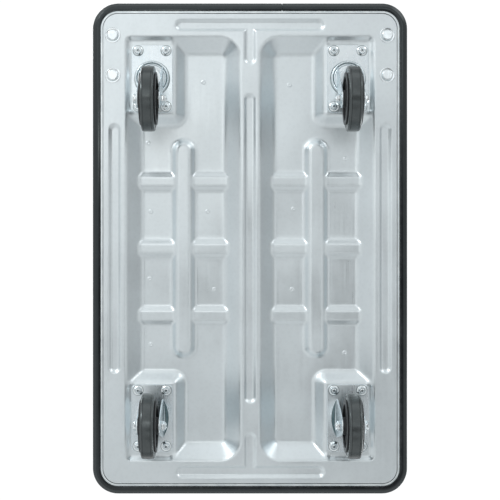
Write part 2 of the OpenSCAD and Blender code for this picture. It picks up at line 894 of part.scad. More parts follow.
module swivel_sleeve(side) {
    color(zinc) at_swivel_axle(side) axle_sleeve();
}

module swivel_axle_bolt(side) {
    color(bright_zinc) at_swivel_axle(side) axle_bolt();
}

module swivel_axle_nut(side) {
    color(bright_zinc) at_swivel_axle(side) axle_nut();
}

module wheel_swivel(side) {
    color(plastic) at_swivel_axle(side) wheel_core();
}

module wheel_fixed(side) {
    color(plastic) at_fixed_axle(side) wheel_core();
}

module tyre_swivel(side) {
    color(rubber) at_swivel_axle(side) tyre();
}

module tyre_fixed(side) {
    color(rubber) at_fixed_axle(side) tyre();
}

// Handle

module handle_form(d, tail) {
    both_sides() {
        translate([leg_x, pivot_y, pivot_z]) {
            rotate([-90, 0, 0]) rod(d, handle_len - bend_r);
            rotate([90, 0, 0]) rod(d, tail);
        }
        translate([leg_x - bend_r, cross_y - bend_r, pivot_z])
            rotate_extrude(angle = 90) translate([bend_r, 0]) circle(d = d);
    }
    translate([0, cross_y, pivot_z]) cross_rod(d, 2 * (leg_x - bend_r));
}

module bar_slot() {
    l = tube_d + 2 * over;
    for (y = [bar_low, bar_reach]) translate([0, y, 0]) cross_rod(slot_w, l);
    translate([-l / 2, bar_low, -slot_w / 2]) cube([l, bar_reach - bar_low, slot_w]);
}

// Keeps what lies within r of the pivot's axis behind the pivot, and all in front of it
module round_leg_ends(r) {
    intersection() {
        children();
        union() {
            translate([0, pivot_y, pivot_z]) cross_rod(2 * r, deck_w);
            translate([-deck_w / 2, pivot_y, pivot_z - deck_w / 2])
                cube([deck_w, handle_len + deck_w, deck_w]);
        }
    }
}

module handle_tube() {
    color(tube_grey) difference() {
        round_leg_ends(leg_end_r) handle_form(tube_d, leg_end_r + over);
        handle_form(tube_d - 2 * tube_wall, leg_end_r + 2 * over);
        for (side = [-1, 1]) at_pivot(side) {
            cross_rod(pivot_d + 2 * run_gap, tube_d + 2 * over);
            bar_slot();
        }
    }
}

module leg_plugs() {
    start = pivot_d / 2 + over;
    color(plastic) round_leg_ends(leg_end_r) for (side = [-1, 1]) at_pivot(side)
        rotate([90, 0, 0]) translate([0, 0, start]) rod(tube_d - 2 * tube_wall - 2 * seat_gap, leg_end_r);
}

module handle_grip() {
    color(rubber) translate([-grip_l / 2, cross_y, pivot_z]) rotate([0, 90, 0])
        soft_sleeve(grip_d, tube_d + 2 * slide_gap, grip_l);
}

// Drop bar

module at_bar() {
    translate([0, pivot_y + bar_reach, pivot_z]) children();
}

module drop_bar() {
    color(bright_zinc) at_bar() cross_rod(bar_d, bar_l);
}

module foot_sleeve() {
    color(rubber) at_bar() translate([-foot_l / 2, 0, 0]) rotate([0, 90, 0])
        soft_sleeve(foot_d, bar_d + 2 * slide_gap, foot_l);
}

module bar_rings() {
    color(plastic) both_sides() at_bar() translate([bar_l / 2 - ring_t, 0, 0]) rotate([0, 90, 0])
        tube(ring_d, bar_d + 2 * seat_gap, ring_t);
}

under_pan();
deck_plate();
deck_mat();
bumper();
bracket(-1);  // bracket_left
bracket(1);  // bracket_right
bracket_bolts();
bracket_washers();
bracket_spacers();
bracket_nuts();
stop_pins();
pivot_bolts();
pivot_nuts();
rest_buffers();
swivel_plate(-1);  // swivel_plate_left
swivel_plate(1);  // swivel_plate_right
kingpin(-1);  // kingpin_left
kingpin(1);  // kingpin_right
race_cap(-1);  // race_cap_left
race_cap(1);  // race_cap_right
bearing_balls(-1);  // bearing_balls_left
bearing_balls(1);  // bearing_balls_right
fixed_bracket(-1);  // fixed_bracket_left
fixed_bracket(1);  // fixed_bracket_right
fixed_sleeves();
fixed_axle_bolts();
fixed_axle_nuts();
caster_bolts();
caster_nuts();
swivel_fork(-1);  // swivel_fork_left
swivel_fork(1);  // swivel_fork_right
swivel_sleeve(-1);  // swivel_sleeve_left
swivel_sleeve(1);  // swivel_sleeve_right
swivel_axle_bolt(-1);  // swivel_axle_bolt_left
swivel_axle_bolt(1);  // swivel_axle_bolt_right
swivel_axle_nut(-1);  // swivel_axle_nut_left
swivel_axle_nut(1);  // swivel_axle_nut_right
wheel_swivel(-1);  // wheel_swivel_left
wheel_swivel(1);  // wheel_swivel_right
wheel_fixed(-1);  // wheel_fixed_left
wheel_fixed(1);  // wheel_fixed_right
tyre_swivel(-1);  // tyre_swivel_left
tyre_swivel(1);  // tyre_swivel_right
tyre_fixed(-1);  // tyre_fixed_left
tyre_fixed(1);  // tyre_fixed_right
handle_tube();
handle_grip();
leg_plugs();
drop_bar();
foot_sleeve();
bar_rings();
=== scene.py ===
"""Dresses the folding platform trolley: pressed zinc underside, rubber bumper, casters, mat and handle."""

import json
import math

import bpy
from mathutils import Matrix, Vector


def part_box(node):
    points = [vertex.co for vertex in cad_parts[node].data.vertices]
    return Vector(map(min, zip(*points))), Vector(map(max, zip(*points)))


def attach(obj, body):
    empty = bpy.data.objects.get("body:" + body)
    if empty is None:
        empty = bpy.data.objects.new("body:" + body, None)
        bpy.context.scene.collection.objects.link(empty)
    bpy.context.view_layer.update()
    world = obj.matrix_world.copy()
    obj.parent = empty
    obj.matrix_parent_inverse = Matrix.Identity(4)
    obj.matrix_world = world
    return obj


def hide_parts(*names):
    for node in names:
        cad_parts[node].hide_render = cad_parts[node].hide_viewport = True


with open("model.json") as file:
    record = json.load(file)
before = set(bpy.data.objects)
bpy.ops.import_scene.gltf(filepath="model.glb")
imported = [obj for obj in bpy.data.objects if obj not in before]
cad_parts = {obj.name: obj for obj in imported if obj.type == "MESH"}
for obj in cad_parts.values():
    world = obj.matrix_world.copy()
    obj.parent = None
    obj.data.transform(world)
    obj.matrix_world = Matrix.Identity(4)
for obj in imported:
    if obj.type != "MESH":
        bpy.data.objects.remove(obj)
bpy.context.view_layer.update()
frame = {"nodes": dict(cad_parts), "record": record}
nodes = frame["nodes"]
record = frame["record"]
body_of_node = {n: b for b, names in record["behaviour"]["bodies"].items() for n in names}
slot_of_node = {s["node"]: s["material_slot"] for s in record["subparts"]}

MM = 0.001

# Levels and places of the trolley, in millimetres
BORDER_Z = 119.0
SEAT_Z = 121.0
PLATE_TOP = 142.7
MAT_TOP = 145.2
RIM = (451.0, 715.0, 27.5)
CASTER_X = 147.0
CASTER_Y = 255.0
AXLE_Z = 47.0
TRAIL = 40.0
LEG_X = 206.0
PIVOT = (-290.0, 162.8)
SEAT_BOLT = (21.0, 42.0)
BRACKET_BOLT_Y = 30.0
LEG_FACES = (-17.1, 14.6)
LEG_THICK = 2.5
LEG_END_R = 13.0
BEND_FACE = 17.1
BEND_R = 7.5
BEND_HALF = 28.0
WEB_RIBS = 6

# Pressings of the sheet in millimetres: each outline is a half width, a half length and a corner radius
PAN_X = 100.25
PAN_DEPTH = 21.0
PAN = (85.75, 318.0, 31.0)
RECESS_MID = (149.55, 259.8)
RECESS = (37.05, 58.8, 8.66)
PAD_X = (95.5, 224.0)
PAD_Y = (184.0, 356.0)
PAD_R = 20.0
RIDGE = (20.25, 168.0, 20.25)
RIB_HALF = 15.5
RIB_PLACES = (-101.5, 0.0, 101.5)
BEAD_HALF = 9.0

# Points closer than this, in metres, are merged
MERGE_GAP = 0.00001


# Hand tools


def deselect():
    if bpy.context.mode != "OBJECT":
        bpy.ops.object.mode_set(mode="OBJECT")
    bpy.ops.object.select_all(action="DESELECT")


def take_up(obj):
    """Makes obj the one selected and active object."""
    deselect()
    obj.select_set(True)
    bpy.context.view_layer.objects.active = obj


def edit(obj):
    """Opens obj in edit mode with all of it selected."""
    take_up(obj)
    bpy.ops.object.mode_set(mode="EDIT")
    bpy.ops.mesh.select_all(action="SELECT")


def close():
    bpy.ops.object.mode_set(mode="OBJECT")


def close_outward(merge=False):
    """Turns all faces outward, with doubled points merged first if asked, and leaves edit mode."""
    bpy.ops.mesh.select_all(action="SELECT")
    if merge:
        bpy.ops.mesh.remove_doubles(threshold=MERGE_GAP)
    bpy.ops.mesh.normals_make_consistent(inside=False)
    close()


def modify(obj, kind, **values):
    """Adds one modifier with these values and applies it."""
    take_up(obj)
    step = obj.modifiers.new(kind.title(), kind)
    for name, value in values.items():
        setattr(step, name, value)
    bpy.ops.object.modifier_apply(modifier=step.name)


def break_edges(piece, width, segments):
    """Rounds the sharp edges of a piece over a width in millimetres."""
    modify(
        piece, "BEVEL", width=width * MM, segments=segments, limit_method="ANGLE",
        angle_limit=math.radians(40), use_clamp_overlap=True,
    )


def smooth(obj, degrees):
    take_up(obj)
    bpy.ops.object.shade_smooth_by_angle(angle=math.radians(degrees), keep_sharp_edges=False)


def new_piece(name, mesh):
    piece = bpy.data.objects.new(name, mesh)
    bpy.context.collection.objects.link(piece)
    return piece


def paint(piece, finish):
    """Gives the piece this one finish."""
    piece.data.materials.clear()
    piece.data.materials.append(finishes[finish])


def dress(piece, node):
    """Gives the piece its node's finish and body, in place of the node."""
    paint(piece, slot_of_node[node])
    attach(piece, body_of_node[node])
    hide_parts(node)


def joined(name, pieces):
    """Joins copies into one piece, with their places in its mesh."""
    deselect()
    for piece in pieces:
        piece.select_set(True)
    bpy.context.view_layer.objects.active = pieces[0]
    bpy.ops.object.join()
    pieces[0].name = name
    return pieces[0]


def copies(piece, places):
    """Copies of a piece made at the origin, one at each place in millimetres, itself being the first."""
    made = [piece] + [new_piece(piece.name, piece.data.copy()) for _ in places[1:]]
    for copy, place in zip(made, places):
        copy.data.transform(Matrix.Translation(Vector(place) * MM))
    return made


def turned(name, profile, steps, closed=False):
    """A piece turned round the Z axis at the origin, from (radius, height) points in millimetres."""
    count = len(profile)
    edges = [(i, i + 1) for i in range(count - 1)] + ([(count - 1, 0)] if closed else [])
    mesh = bpy.data.meshes.new(name)
    mesh.from_pydata([(r * MM, 0, h * MM) for r, h in profile], edges, [])
    piece = new_piece(name, mesh)
    edit(piece)
    bpy.ops.mesh.spin(steps=steps, angle=2 * math.pi, center=(0, 0, 0), axis=(0, 0, 1))
    close_outward(merge=True)
    return piece


def mirrored(half):
    """A turned profile on both sides of the middle plane, from its upper half."""
    return half + [(r, -h) for r, h in reversed(half)]


def lay_along_x(piece):
    """Turns a piece made round Z so that it lies along X."""
    piece.data.transform(Matrix.Rotation(math.pi / 2, 4, "Y"))
    return piece


def moved(piece, x=0.0, y=0.0, z=0.0):
    piece.data.transform(Matrix.Translation(Vector((x, y, z)) * MM))
    return piece


def plate(name, outline, along, edge, segments=2):
    """A flat piece: an outline in millimetres, drawn out along a vector, with its edges broken."""
    mesh = bpy.data.meshes.new(name)
    mesh.from_pydata([Vector(point) * MM for point in outline], [], [list(range(len(outline)))])
    piece = new_piece(name, mesh)
    edit(piece)
    bpy.ops.mesh.extrude_region_move(TRANSFORM_OT_translate={"value": Vector(along) * MM})
    close_outward()
    break_edges(piece, edge, segments)
    smooth(piece, 50)
    modify(piece, "WEIGHTED_NORMAL", keep_sharp=True)
    return piece


def arc(u, z, r, start, end, steps):
    """Points along an arc round (u, z), between two angles in degrees."""
    angles = [math.radians(start + (end - start) * i / steps) for i in range(steps + 1)]
    return [(u + r * math.cos(a), z + r * math.sin(a)) for a in angles]


def rounded_outline(half_w, half_l, r, z, steps=8):
    """The corner points of a rectangle with round corners, at height z."""
    points = []
    for sx, sy, start in ((1, 1, 0), (-1, 1, 90), (-1, -1, 180), (1, -1, 270)):
        points += arc(sx * (half_w - r), sy * (half_l - r), r, start, start + 90, steps)
    return [(x, y, z) for x, y in points]


def hexagon(name, across, end, seat):
    """A six-sided head or nut round Z between two heights, with a steep chamfer at its free end."""
    chamfer = 0.13
    steepness = 1.25
    edge = 0.25
    tall = math.copysign(steepness * (chamfer * across), seat - end)
    grow = 1 / (1 - chamfer * math.sqrt(3))
    radius = across / math.sqrt(3) / grow * MM
    deselect()
    bpy.ops.mesh.primitive_circle_add(vertices=6, radius=radius, fill_type="NGON", location=(0, 0, 0))
    piece = bpy.context.object
    piece.name = name
    piece.data.transform(Matrix.Translation((0, 0, end * MM)))
    edit(piece)
    bpy.ops.mesh.extrude_region_move(TRANSFORM_OT_translate={"value": (0, 0, tall * MM)})
    bpy.ops.transform.resize(value=(grow, grow, 1))
    bpy.ops.mesh.extrude_region_move(TRANSFORM_OT_translate={"value": (0, 0, (seat - end - tall) * MM)})
    close_outward()
    break_edges(piece, edge, 2)
    smooth(piece, 30)
    return piece


# Finishes: shader tools, and groups that several materials share


def add(tree, kind, **values):
    made = tree.nodes.new(kind)
    for name, value in values.items():
        setattr(made, name, value)
    return made


def feed(tree, target, value):
    """Links a socket to an input, or sets a plain value on it."""
    if isinstance(value, bpy.types.NodeSocket):
        tree.links.new(value, target)
    else:
        target.default_value = value


def spread(tree, value, low, high, from_low=0.3, from_high=0.7):
    """A value socket stretched to run from low to high."""
    made = add(tree, "ShaderNodeMapRange")
    tree.links.new(value, made.inputs["Value"])
    made.inputs["From Min"].default_value = from_low
    made.inputs["From Max"].default_value = from_high
    made.inputs["To Min"].default_value = low
    made.inputs["To Max"].default_value = high
    return made.outputs["Result"]


def soft_step(tree, value, start, end):
    """Nothing where a value socket is at start, one where it is at end, eased between."""
    made = add(tree, "ShaderNodeMapRange", interpolation_type="SMOOTHSTEP")
    tree.links.new(value, made.inputs["Value"])
    feed(tree, made.inputs["From Min"], start)
    feed(tree, made.inputs["From Max"], end)
    return made.outputs["Result"]


def combine(tree, a, b, operation="ADD"):
    made = add(tree, "ShaderNodeMath", operation=operation)
    for target, value in zip(made.inputs, (a, b)):
        feed(tree, target, value)
    return made.outputs["Value"]


def mix_colour(tree, fac, a, b):
    """A colour between a and b, each a colour or a socket, by the fac socket."""
    made = add(tree, "ShaderNodeMix", data_type="RGBA")
    tree.links.new(fac, made.inputs["Factor"])
    for label, value in (("A", a), ("B", b)):
        target = [s for s in made.inputs if s.name == label and s.type == "RGBA"][0]
        feed(tree, target, (*value, 1.0) if isinstance(value, tuple) else value)
    return [s for s in made.outputs if s.type == "RGBA"][0]


def noise(tree, place, scale, **values):
    """Noise at a scale, a number or a socket, with these values on its other inputs."""
    made = add(tree, "ShaderNodeTexNoise")
    tree.links.new(place, made.inputs["Vector"])
    feed(tree, made.inputs["Scale"], scale)
    for label, value in values.items():
        made.inputs[label].default_value = value
    return made.outputs["Fac"]


def new_group(name, inputs, outputs):
    """A shader group with number sockets: inputs with their usual values, and outputs."""
    group = bpy.data.node_groups.new(name, "ShaderNodeTree")
    for label, value in inputs:
        made = group.interface.new_socket(name=label, in_out="INPUT", socket_type="NodeSocketFloat")
        made.default_value = value
    for label in outputs:
        group.interface.new_socket(name=label, in_out="OUTPUT", socket_type="NodeSocketFloat")
    return group, add(group, "NodeGroupInput"), add(group, "NodeGroupOutput")


def rolled_grain_group():
    """Fine streaks along Y from the rolling mill, soft cloudy patches and zinc flakes."""
    group, given, out = new_group(
        "Rolled grain", [("Streak Scale", 900.0), ("Cloud Scale", 14.0)], ["Streaks", "Clouds", "Flakes"],
    )
    link = group.links.new
    place = add(group, "ShaderNodeTexCoord").outputs["Object"]
    stretch = add(group, "ShaderNodeMapping")
    stretch.inputs["Scale"].default_value = (1.0, 0.02, 1.0)
    link(place, stretch.inputs["Vector"])
    streaks = noise(group, stretch.outputs["Vector"], given.outputs["Streak Scale"], Detail=3.0)
    clouds = noise(group, place, given.outputs["Cloud Scale"], Detail=4.0, Roughness=0.55)
    flakes = add(group, "ShaderNodeTexVoronoi")
    flakes.inputs["Scale"].default_value = 160.0
    link(place, flakes.inputs["Vector"])
    link(streaks, out.inputs["Streaks"])
    link(clouds, out.inputs["Clouds"])
    link(flakes.outputs["Distance"], out.inputs["Flakes"])
    return group


def edge_rub_group():
    """Where handling has rubbed the edges, broken up by noise, and where the hollows take painted shade."""
    group, given, out = new_group(
        "Edge rub", [("Start", 0.52), ("End", 0.62), ("Break Scale", 60.0)], ["Mask", "Hollow Shade"],
    )
    link = group.links.new
    bent = add(group, "ShaderNodeNewGeometry").outputs["Pointiness"]
    edges = soft_step(group, bent, given.outputs["Start"], given.outputs["End"])
    place = add(group, "ShaderNodeTexCoord").outputs["Object"]
    breaks = noise(group, place, given.outputs["Break Scale"], Detail=4.0)
    link(combine(group, edges, spread(group, breaks, 0.0, 1.0, 0.38, 0.62), "MULTIPLY"), out.inputs["Mask"])
    # Painted shade: one where the surface is hollow, so the colour can be darkened there.
    link(soft_step(group, bent, 0.488, 0.44), out.inputs["Hollow Shade"])
    return group


def moulded_grain_group():
    """The fine leathery grain of moulded rubber and plastic, with broad dull and dusty patches."""
    group, given, out = new_group(
        "Moulded grain", [("Grain Scale", 1400.0), ("Patch Scale", 22.0)], ["Grain", "Patches", "Scuffs"],
    )
    link = group.links.new
    place = add(group, "ShaderNodeTexCoord").outputs["Object"]
    grain = add(group, "ShaderNodeTexVoronoi", feature="SMOOTH_F1")
    link(place, grain.inputs["Vector"])
    link(given.outputs["Grain Scale"], grain.inputs["Scale"])
    link(grain.outputs["Distance"], out.inputs["Grain"])
    patches = noise(group, place, given.outputs["Patch Scale"], Detail=5.0, Roughness=0.6)
    link(patches, out.inputs["Patches"])
    link(noise(group, place, 260.0, Detail=6.0, Distortion=1.2), out.inputs["Scuffs"])
    return group


groups = {
    "rolled": rolled_grain_group(),
    "rub": edge_rub_group(),
    "moulded": moulded_grain_group(),
}


def placed(tree, name, **values):
    made = add(tree, "ShaderNodeGroup", node_tree=groups[name])
    for label, value in values.items():
        made.inputs[label.replace("_", " ")].default_value = value
    return made


def new_finish(name, **values):
    finish = bpy.data.materials.new(name)
    finish.use_nodes = True
    tree = finish.node_tree
    shader = tree.nodes["Principled BSDF"]
    for label, value in values.items():
        shader.inputs[label.replace("_", " ")].default_value = value
    return finish, tree, shader


def bump(tree, shader, height, strength, distance):
    made = add(tree, "ShaderNodeBump")
    made.inputs["Strength"].default_value = strength
    made.inputs["Distance"].default_value = distance
    tree.links.new(height, made.inputs["Height"])
    tree.links.new(made.outputs["Normal"], shader.inputs["Normal"])


def zinc_finish(
    name, dark, light, worn, rough, streak_scale, cloud_scale, bump_depth, lacquer=0.0, hollow_shade=None,
):
    """Zinc on steel: two tones in cloudy patches, streaks in the gloss, rubbed edges, painted shade in the
    hollows, and lacquer.
    """
    finish, tree, shader = new_finish(name, Metallic=1.0, Coat_Weight=lacquer, Coat_Roughness=0.12)
    grain = placed(tree, "rolled", Streak_Scale=streak_scale, Cloud_Scale=cloud_scale)
    rub = placed(tree, "rub")
    tone = combine(
        tree, spread(tree, grain.outputs["Clouds"], 0.0, 0.7),
        spread(tree, grain.outputs["Flakes"], 0.0, 0.3, 0.0, 0.6),
    )
    colour = mix_colour(tree, tone, dark, light)
    colour = mix_colour(tree, rub.outputs["Mask"], colour, worn)
    # Painted shade: the colour is darkened in the hollows.
    if hollow_shade is not None:
        colour = mix_colour(tree, rub.outputs["Hollow Shade"], colour, hollow_shade)
    tree.links.new(colour, shader.inputs["Base Color"])
    gloss = combine(
        tree, spread(tree, grain.outputs["Clouds"], rough[0], rough[1]),
        spread(tree, grain.outputs["Streaks"], -0.04, 0.04),
    )
    tree.links.new(gloss, shader.inputs["Roughness"])
    bump(tree, shader, grain.outputs["Streaks"], 0.25, bump_depth)
    return finish


def moulded_finish(
    name, dark, light, dusty, rough, grain_scale, grain_depth, patch_scale=22.0, shine=0.45, bloom=0.0,
):
    """Moulded rubber, vinyl or plastic: near black, with a cool gloss, fine grain, dust and scuffs."""
    cool = (0.84, 0.97, 1.0, 1.0)
    finish, tree, shader = new_finish(
        name, Specular_IOR_Level=shine, Specular_Tint=cool,
        Sheen_Weight=bloom, Sheen_Roughness=0.35, Sheen_Tint=cool,
    )
    grain = placed(tree, "moulded", Grain_Scale=grain_scale, Patch_Scale=patch_scale)
    rub = placed(tree, "rub", Break_Scale=120.0)
    colour = mix_colour(tree, spread(tree, grain.outputs["Patches"], 0.0, 1.0), dark, light)
    scuffs = spread(tree, grain.outputs["Scuffs"], 0.0, 0.5, 0.55, 0.8)
    pale = combine(tree, scuffs, rub.outputs["Mask"], "MAXIMUM")
    pale = combine(tree, pale, spread(tree, grain.outputs["Patches"], 0.1, 0.6), "MULTIPLY")
    colour = mix_colour(tree, pale, colour, dusty)
    tree.links.new(colour, shader.inputs["Base Color"])
    tree.links.new(spread(tree, grain.outputs["Patches"], rough[0], rough[1]), shader.inputs["Roughness"])
    bump(tree, shader, grain.outputs["Grain"], 0.35, grain_depth)
    return finish


finishes = {
    "pressed_zinc": zinc_finish(
        "Satin zinc sheet", (0.655, 0.722, 0.750), (0.738, 0.812, 0.842), (0.86, 0.93, 0.95),
        rough=(0.30, 0.42), streak_scale=700.0, cloud_scale=9.0, bump_depth=0.00004, lacquer=0.35,
    ),
    "caster_zinc": zinc_finish(
        "Bright zinc plate", (0.64, 0.73, 0.78), (0.80, 0.87, 0.90), (0.90, 0.95, 0.97),
        rough=(0.24, 0.34), streak_scale=1100.0, cloud_scale=26.0, bump_depth=0.00002,
        # Painted shade in the hollows of the casters.
        hollow_shade=(0.10, 0.15, 0.16),
    ),
    "fastener_zinc": zinc_finish(
        "Fastener zinc plate", (0.66, 0.73, 0.77), (0.82, 0.88, 0.90), (0.92, 0.96, 0.97),
        rough=(0.14, 0.24), streak_scale=1600.0, cloud_scale=40.0, bump_depth=0.00002,
        # Painted shade in the hollows of the fasteners.
        hollow_shade=(0.09, 0.12, 0.13),
    ),
    # Painted shade: dark zinc for thin crescents that stand in for the shade in the bends of the fixed
    # brackets.
    "bend_painted_shade": zinc_finish(
        "Painted shade in the bends", (0.07, 0.12, 0.135), (0.15, 0.21, 0.23), (0.35, 0.42, 0.45),
        rough=(0.26, 0.40), streak_scale=1100.0, cloud_scale=60.0, bump_depth=0.00004,
    ),
    # Painted shade: dark zinc for the rings that stand in for the shade round the seat nuts and the swivel
    # crowns.
    "seat_painted_shade": zinc_finish(
        "Painted shade round the nuts", (0.16, 0.21, 0.225), (0.27, 0.33, 0.345), (0.45, 0.52, 0.54),
        rough=(0.30, 0.44), streak_scale=1100.0, cloud_scale=90.0, bump_depth=0.00004,
    ),
    # Rougher zinc for the handle brackets, with painted shade: its tone is darker than the bright zinc to
    # hold down the strong light on them.
    "dull_shaded_zinc": zinc_finish(
        "Dull zinc with painted shade", (0.34, 0.37, 0.39), (0.45, 0.48, 0.50), (0.60, 0.63, 0.65),
        rough=(0.36, 0.48), streak_scale=1100.0, cloud_scale=26.0, bump_depth=0.00002,
    ),
    "handle_chrome": zinc_finish(
        "Plated handle tube", (0.62, 0.63, 0.64), (0.74, 0.75, 0.76), (0.85, 0.86, 0.87),
        rough=(0.12, 0.22), streak_scale=1400.0, cloud_scale=18.0, bump_depth=0.00001,
    ),
    "bumper_rubber": moulded_finish(
        "Bumper rubber", (0.004, 0.005, 0.006), (0.009, 0.010, 0.012), (0.06, 0.062, 0.067),
        rough=(0.10, 0.18), grain_scale=1500.0, grain_depth=0.00002, shine=0.55, bloom=1.0,
    ),
    "tyre_rubber": moulded_finish(
        "Tyre rubber", (0.028, 0.032, 0.033), (0.044, 0.049, 0.050), (0.14, 0.145, 0.145),
        rough=(0.16, 0.26), grain_scale=1800.0, grain_depth=0.00002, patch_scale=40.0, shine=0.85,
    ),
    "wheel_plastic": moulded_finish(
        "Wheel plastic", (0.022, 0.022, 0.024), (0.036, 0.036, 0.039), (0.10, 0.10, 0.10),
        rough=(0.34, 0.48), grain_scale=1300.0, grain_depth=0.00005, patch_scale=30.0,
    ),
    "deck_vinyl": moulded_finish(
        "Mat vinyl", (0.022, 0.023, 0.025), (0.040, 0.041, 0.044), (0.10, 0.10, 0.10),
        rough=(0.46, 0.62), grain_scale=1100.0, grain_depth=0.00010,
    ),
    "trim_plastic": moulded_finish(
        "Trim plastic", (0.020, 0.020, 0.022), (0.032, 0.032, 0.035), (0.09, 0.09, 0.09),
        rough=(0.36, 0.50), grain_scale=1600.0, grain_depth=0.00005,
    ),
}

# The handle brackets take the darker zinc, painted shade against the bright light on them.
DULL_SHADED_NODES = ("bracket_left", "bracket_right")
for name, obj in nodes.items():
    for place in obj.material_slots:
        place.material = finishes["dull_shaded_zinc" if name in DULL_SHADED_NODES else slot_of_node[name]]


# Pressed pan


def inside_rounded(x, y, half_w, half_l, r):
    """How far a point lies inside a rounded rectangle, below zero outside it."""
    dx = abs(x) - half_w + r
    dy = abs(y) - half_l + r
    return r - math.hypot(max(dx, 0.0), max(dy, 0.0)) - min(max(dx, dy), 0.0)


def eased(u, r):
    """u above zero and nothing below, with the corner rounded over r on both sides."""
    if u <= -r:
        return 0.0
    return u if u >= r else (u + r) ** 2 / (4 * r)


def wall(inside, run, rise, r):
    """The height of a sloped wall that rises over run, with rounded bends."""
    return (eased(inside, r) - eased(inside - run, r)) * rise / run


def lower_of(a, b, r):
    """The lower of two heights, blended over r."""
    return b - eased(b - a, r)


# Spot welds, as places on the sheet in millimetres
WELDS = [
    (-154, -160), (-150, -56), (-64, -56), (-152, 46), (-54, 62), (-150, 146),
    (-70, -252), (60, -248), (145, -136), (144, 158), (64, 62), (66, -60),
]


def pan_height(x, y):
    """How deep the sheet is pressed in above its border, in millimetres."""
    ax = abs(x)
    ay = abs(y)
    from_middle = ax - PAN_X
    pan = wall(inside_rounded(from_middle, y, *PAN), 25.0, PAN_DEPTH, 2.6)
    recess = wall(inside_rounded(ax - RECESS_MID[0], ay - RECESS_MID[1], *RECESS), 6.66, 5.6, 1.6)
    pad_w = (PAD_X[1] - PAD_X[0]) / 2
    pad_l = (PAD_Y[1] - PAD_Y[0]) / 2
    pad = inside_rounded(ax - PAD_X[0] - pad_w, ay - PAD_Y[0] - pad_l, pad_w, pad_l, PAD_R)
    over_pad = PAN_DEPTH - wall(pad, 17.0, 16.0, 3.0)
    ridge = wall(inside_rounded(from_middle, y, *RIDGE), 10.5, 9.0, 2.6)
    rib = max(wall(RIB_HALF - abs(y - place), 8.0, 6.0, 2.2) for place in RIB_PLACES)
    height = max(lower_of(pan, over_pad, 6.0), lower_of(recess, over_pad, 2.0))
    height = lower_of(height, PAN_DEPTH - ridge, 2.0)
    height = lower_of(height, PAN_DEPTH - rib, 3.2)
    side_bead = inside_rounded(ax - 203.0, y, BEAD_HALF, 187.0, BEAD_HALF)
    spine_bead = inside_rounded(x, y, BEAD_HALF, 232.0, BEAD_HALF)
    end_bead = inside_rounded(x, ay - 335.0, 112.0, BEAD_HALF, BEAD_HALF)
    stub_bead = inside_rounded(x, ay - 310.0, BEAD_HALF, 34.0, BEAD_HALF)
    bead = wall(max(side_bead, spine_bead, end_bead, stub_bead), 4.0, 3.0, 1.0)
    wave = 0.22 * math.sin(x / 21.0 + 0.6) * math.cos(y / 34.0)
    wave += 0.25 * math.sin((x + 1.3 * y) / 41.0 + 1.0)
    return max(height, bead) + wave


def rounded_corner(u, v):
    """Bends the corner of a square into a quarter disc, both one unit wide."""
    if max(u, v) <= 0.0:
        return 0.0, 0.0
    reach = max(u, v)
    turn = math.pi / 4 * (v / u) if u > v else math.pi / 2 - math.pi / 4 * (u / v)
    return reach * math.cos(turn), reach * math.sin(turn)


def ruled(runs):
    """Lines from the middle outward, even up to each run's end at about its step."""
    lines = [0.0]
    for end, step in runs:
        start = lines[-1]
        count = max(1, round((end - start) / step))
        lines += [start + (end - start) * (i + 1) / count for i in range(count)]
    return lines


def pressed_pan():
    """The sheet: a grid ruled closest where it bends, pressed in, with its rim turned up."""
    half_w = 220.2
    half_l = 352.2
    r = 22.2
    rim_rise = 1.2
    across = ruled([
        (12, 1.0), (42, 1.5), (78, 4), (123, 1.5), (158, 4), (188, 1.7), (214, 1.1), (half_w, 2),
    ])
    along = ruled([
        (17, 1.5), (83, 5), (119, 1.5), (150, 5), (190, 1.5), (210, 1.7), (222, 4), (242, 1.2), (258, 4),
        (280, 1.5), (318, 1.7), (346, 1.1), (half_l, 2),
    ])
    columns = len(across) - 1
    rows = len(along) - 1
    deselect()
    bpy.ops.mesh.primitive_grid_add(
        x_subdivisions=2 * columns, y_subdivisions=2 * rows, size=2.0, location=(0, 0, 0),
    )
    sheet = bpy.context.object
    sheet.name = "pressed_pan"
    for v in sheet.data.vertices:
        x = across[round(abs(v.co.x) * columns)]
        y = along[round(abs(v.co.y) * rows)]
        if x > half_w - r and y > half_l - r:
            u, w = rounded_corner((x - half_w + r) / r, (y - half_l + r) / r)
            x = half_w - r + u * r
            y = half_l - r + w * r
        x = math.copysign(x, v.co.x)
        y = math.copysign(y, v.co.y)
        v.co = Vector((x, y, BORDER_Z + pan_height(x, y))) * MM
    edit(sheet)
    bpy.ops.mesh.flip_normals()
    bpy.ops.mesh.select_all(action="DESELECT")
    bpy.ops.mesh.select_mode(type="EDGE")
    bpy.ops.mesh.select_non_manifold(
        extend=False, use_wire=False, use_multi_face=False, use_non_contiguous=False, use_verts=False,
    )
    bpy.ops.mesh.extrude_edges_move(TRANSFORM_OT_translate={"value": (0, 0, rim_rise * MM)})
    close()
    smooth(sheet, 60)
    dress(sheet, "under_pan")


def weld_marks():
    """Small spot welds that join the sheet to the deck, each a low ring with a pit."""
    mark = turned("weld_marks", [
        (0.0, 0.1), (0.7, 0.0), (1.3, -0.32), (2.0, -0.36), (2.9, -0.15), (3.9, 0.0), (4.4, 0.3),
    ], 28)
    smooth(mark, 50)
    marks = joined("weld_marks", copies(mark, [(x, y, BORDER_Z + pan_height(x, y)) for x, y in WELDS]))
    paint(marks, "pressed_zinc")
    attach(marks, "deck")


# Bumper, mat and buffers


def groove(u, z):
    """A groove in the bumper's side, round height z."""
    width = 1.8
    depth = 0.7
    return [(u, z - width / 2), (u - depth, z - width / 4), (u - depth, z + width / 4), (u, z + width / 2)]


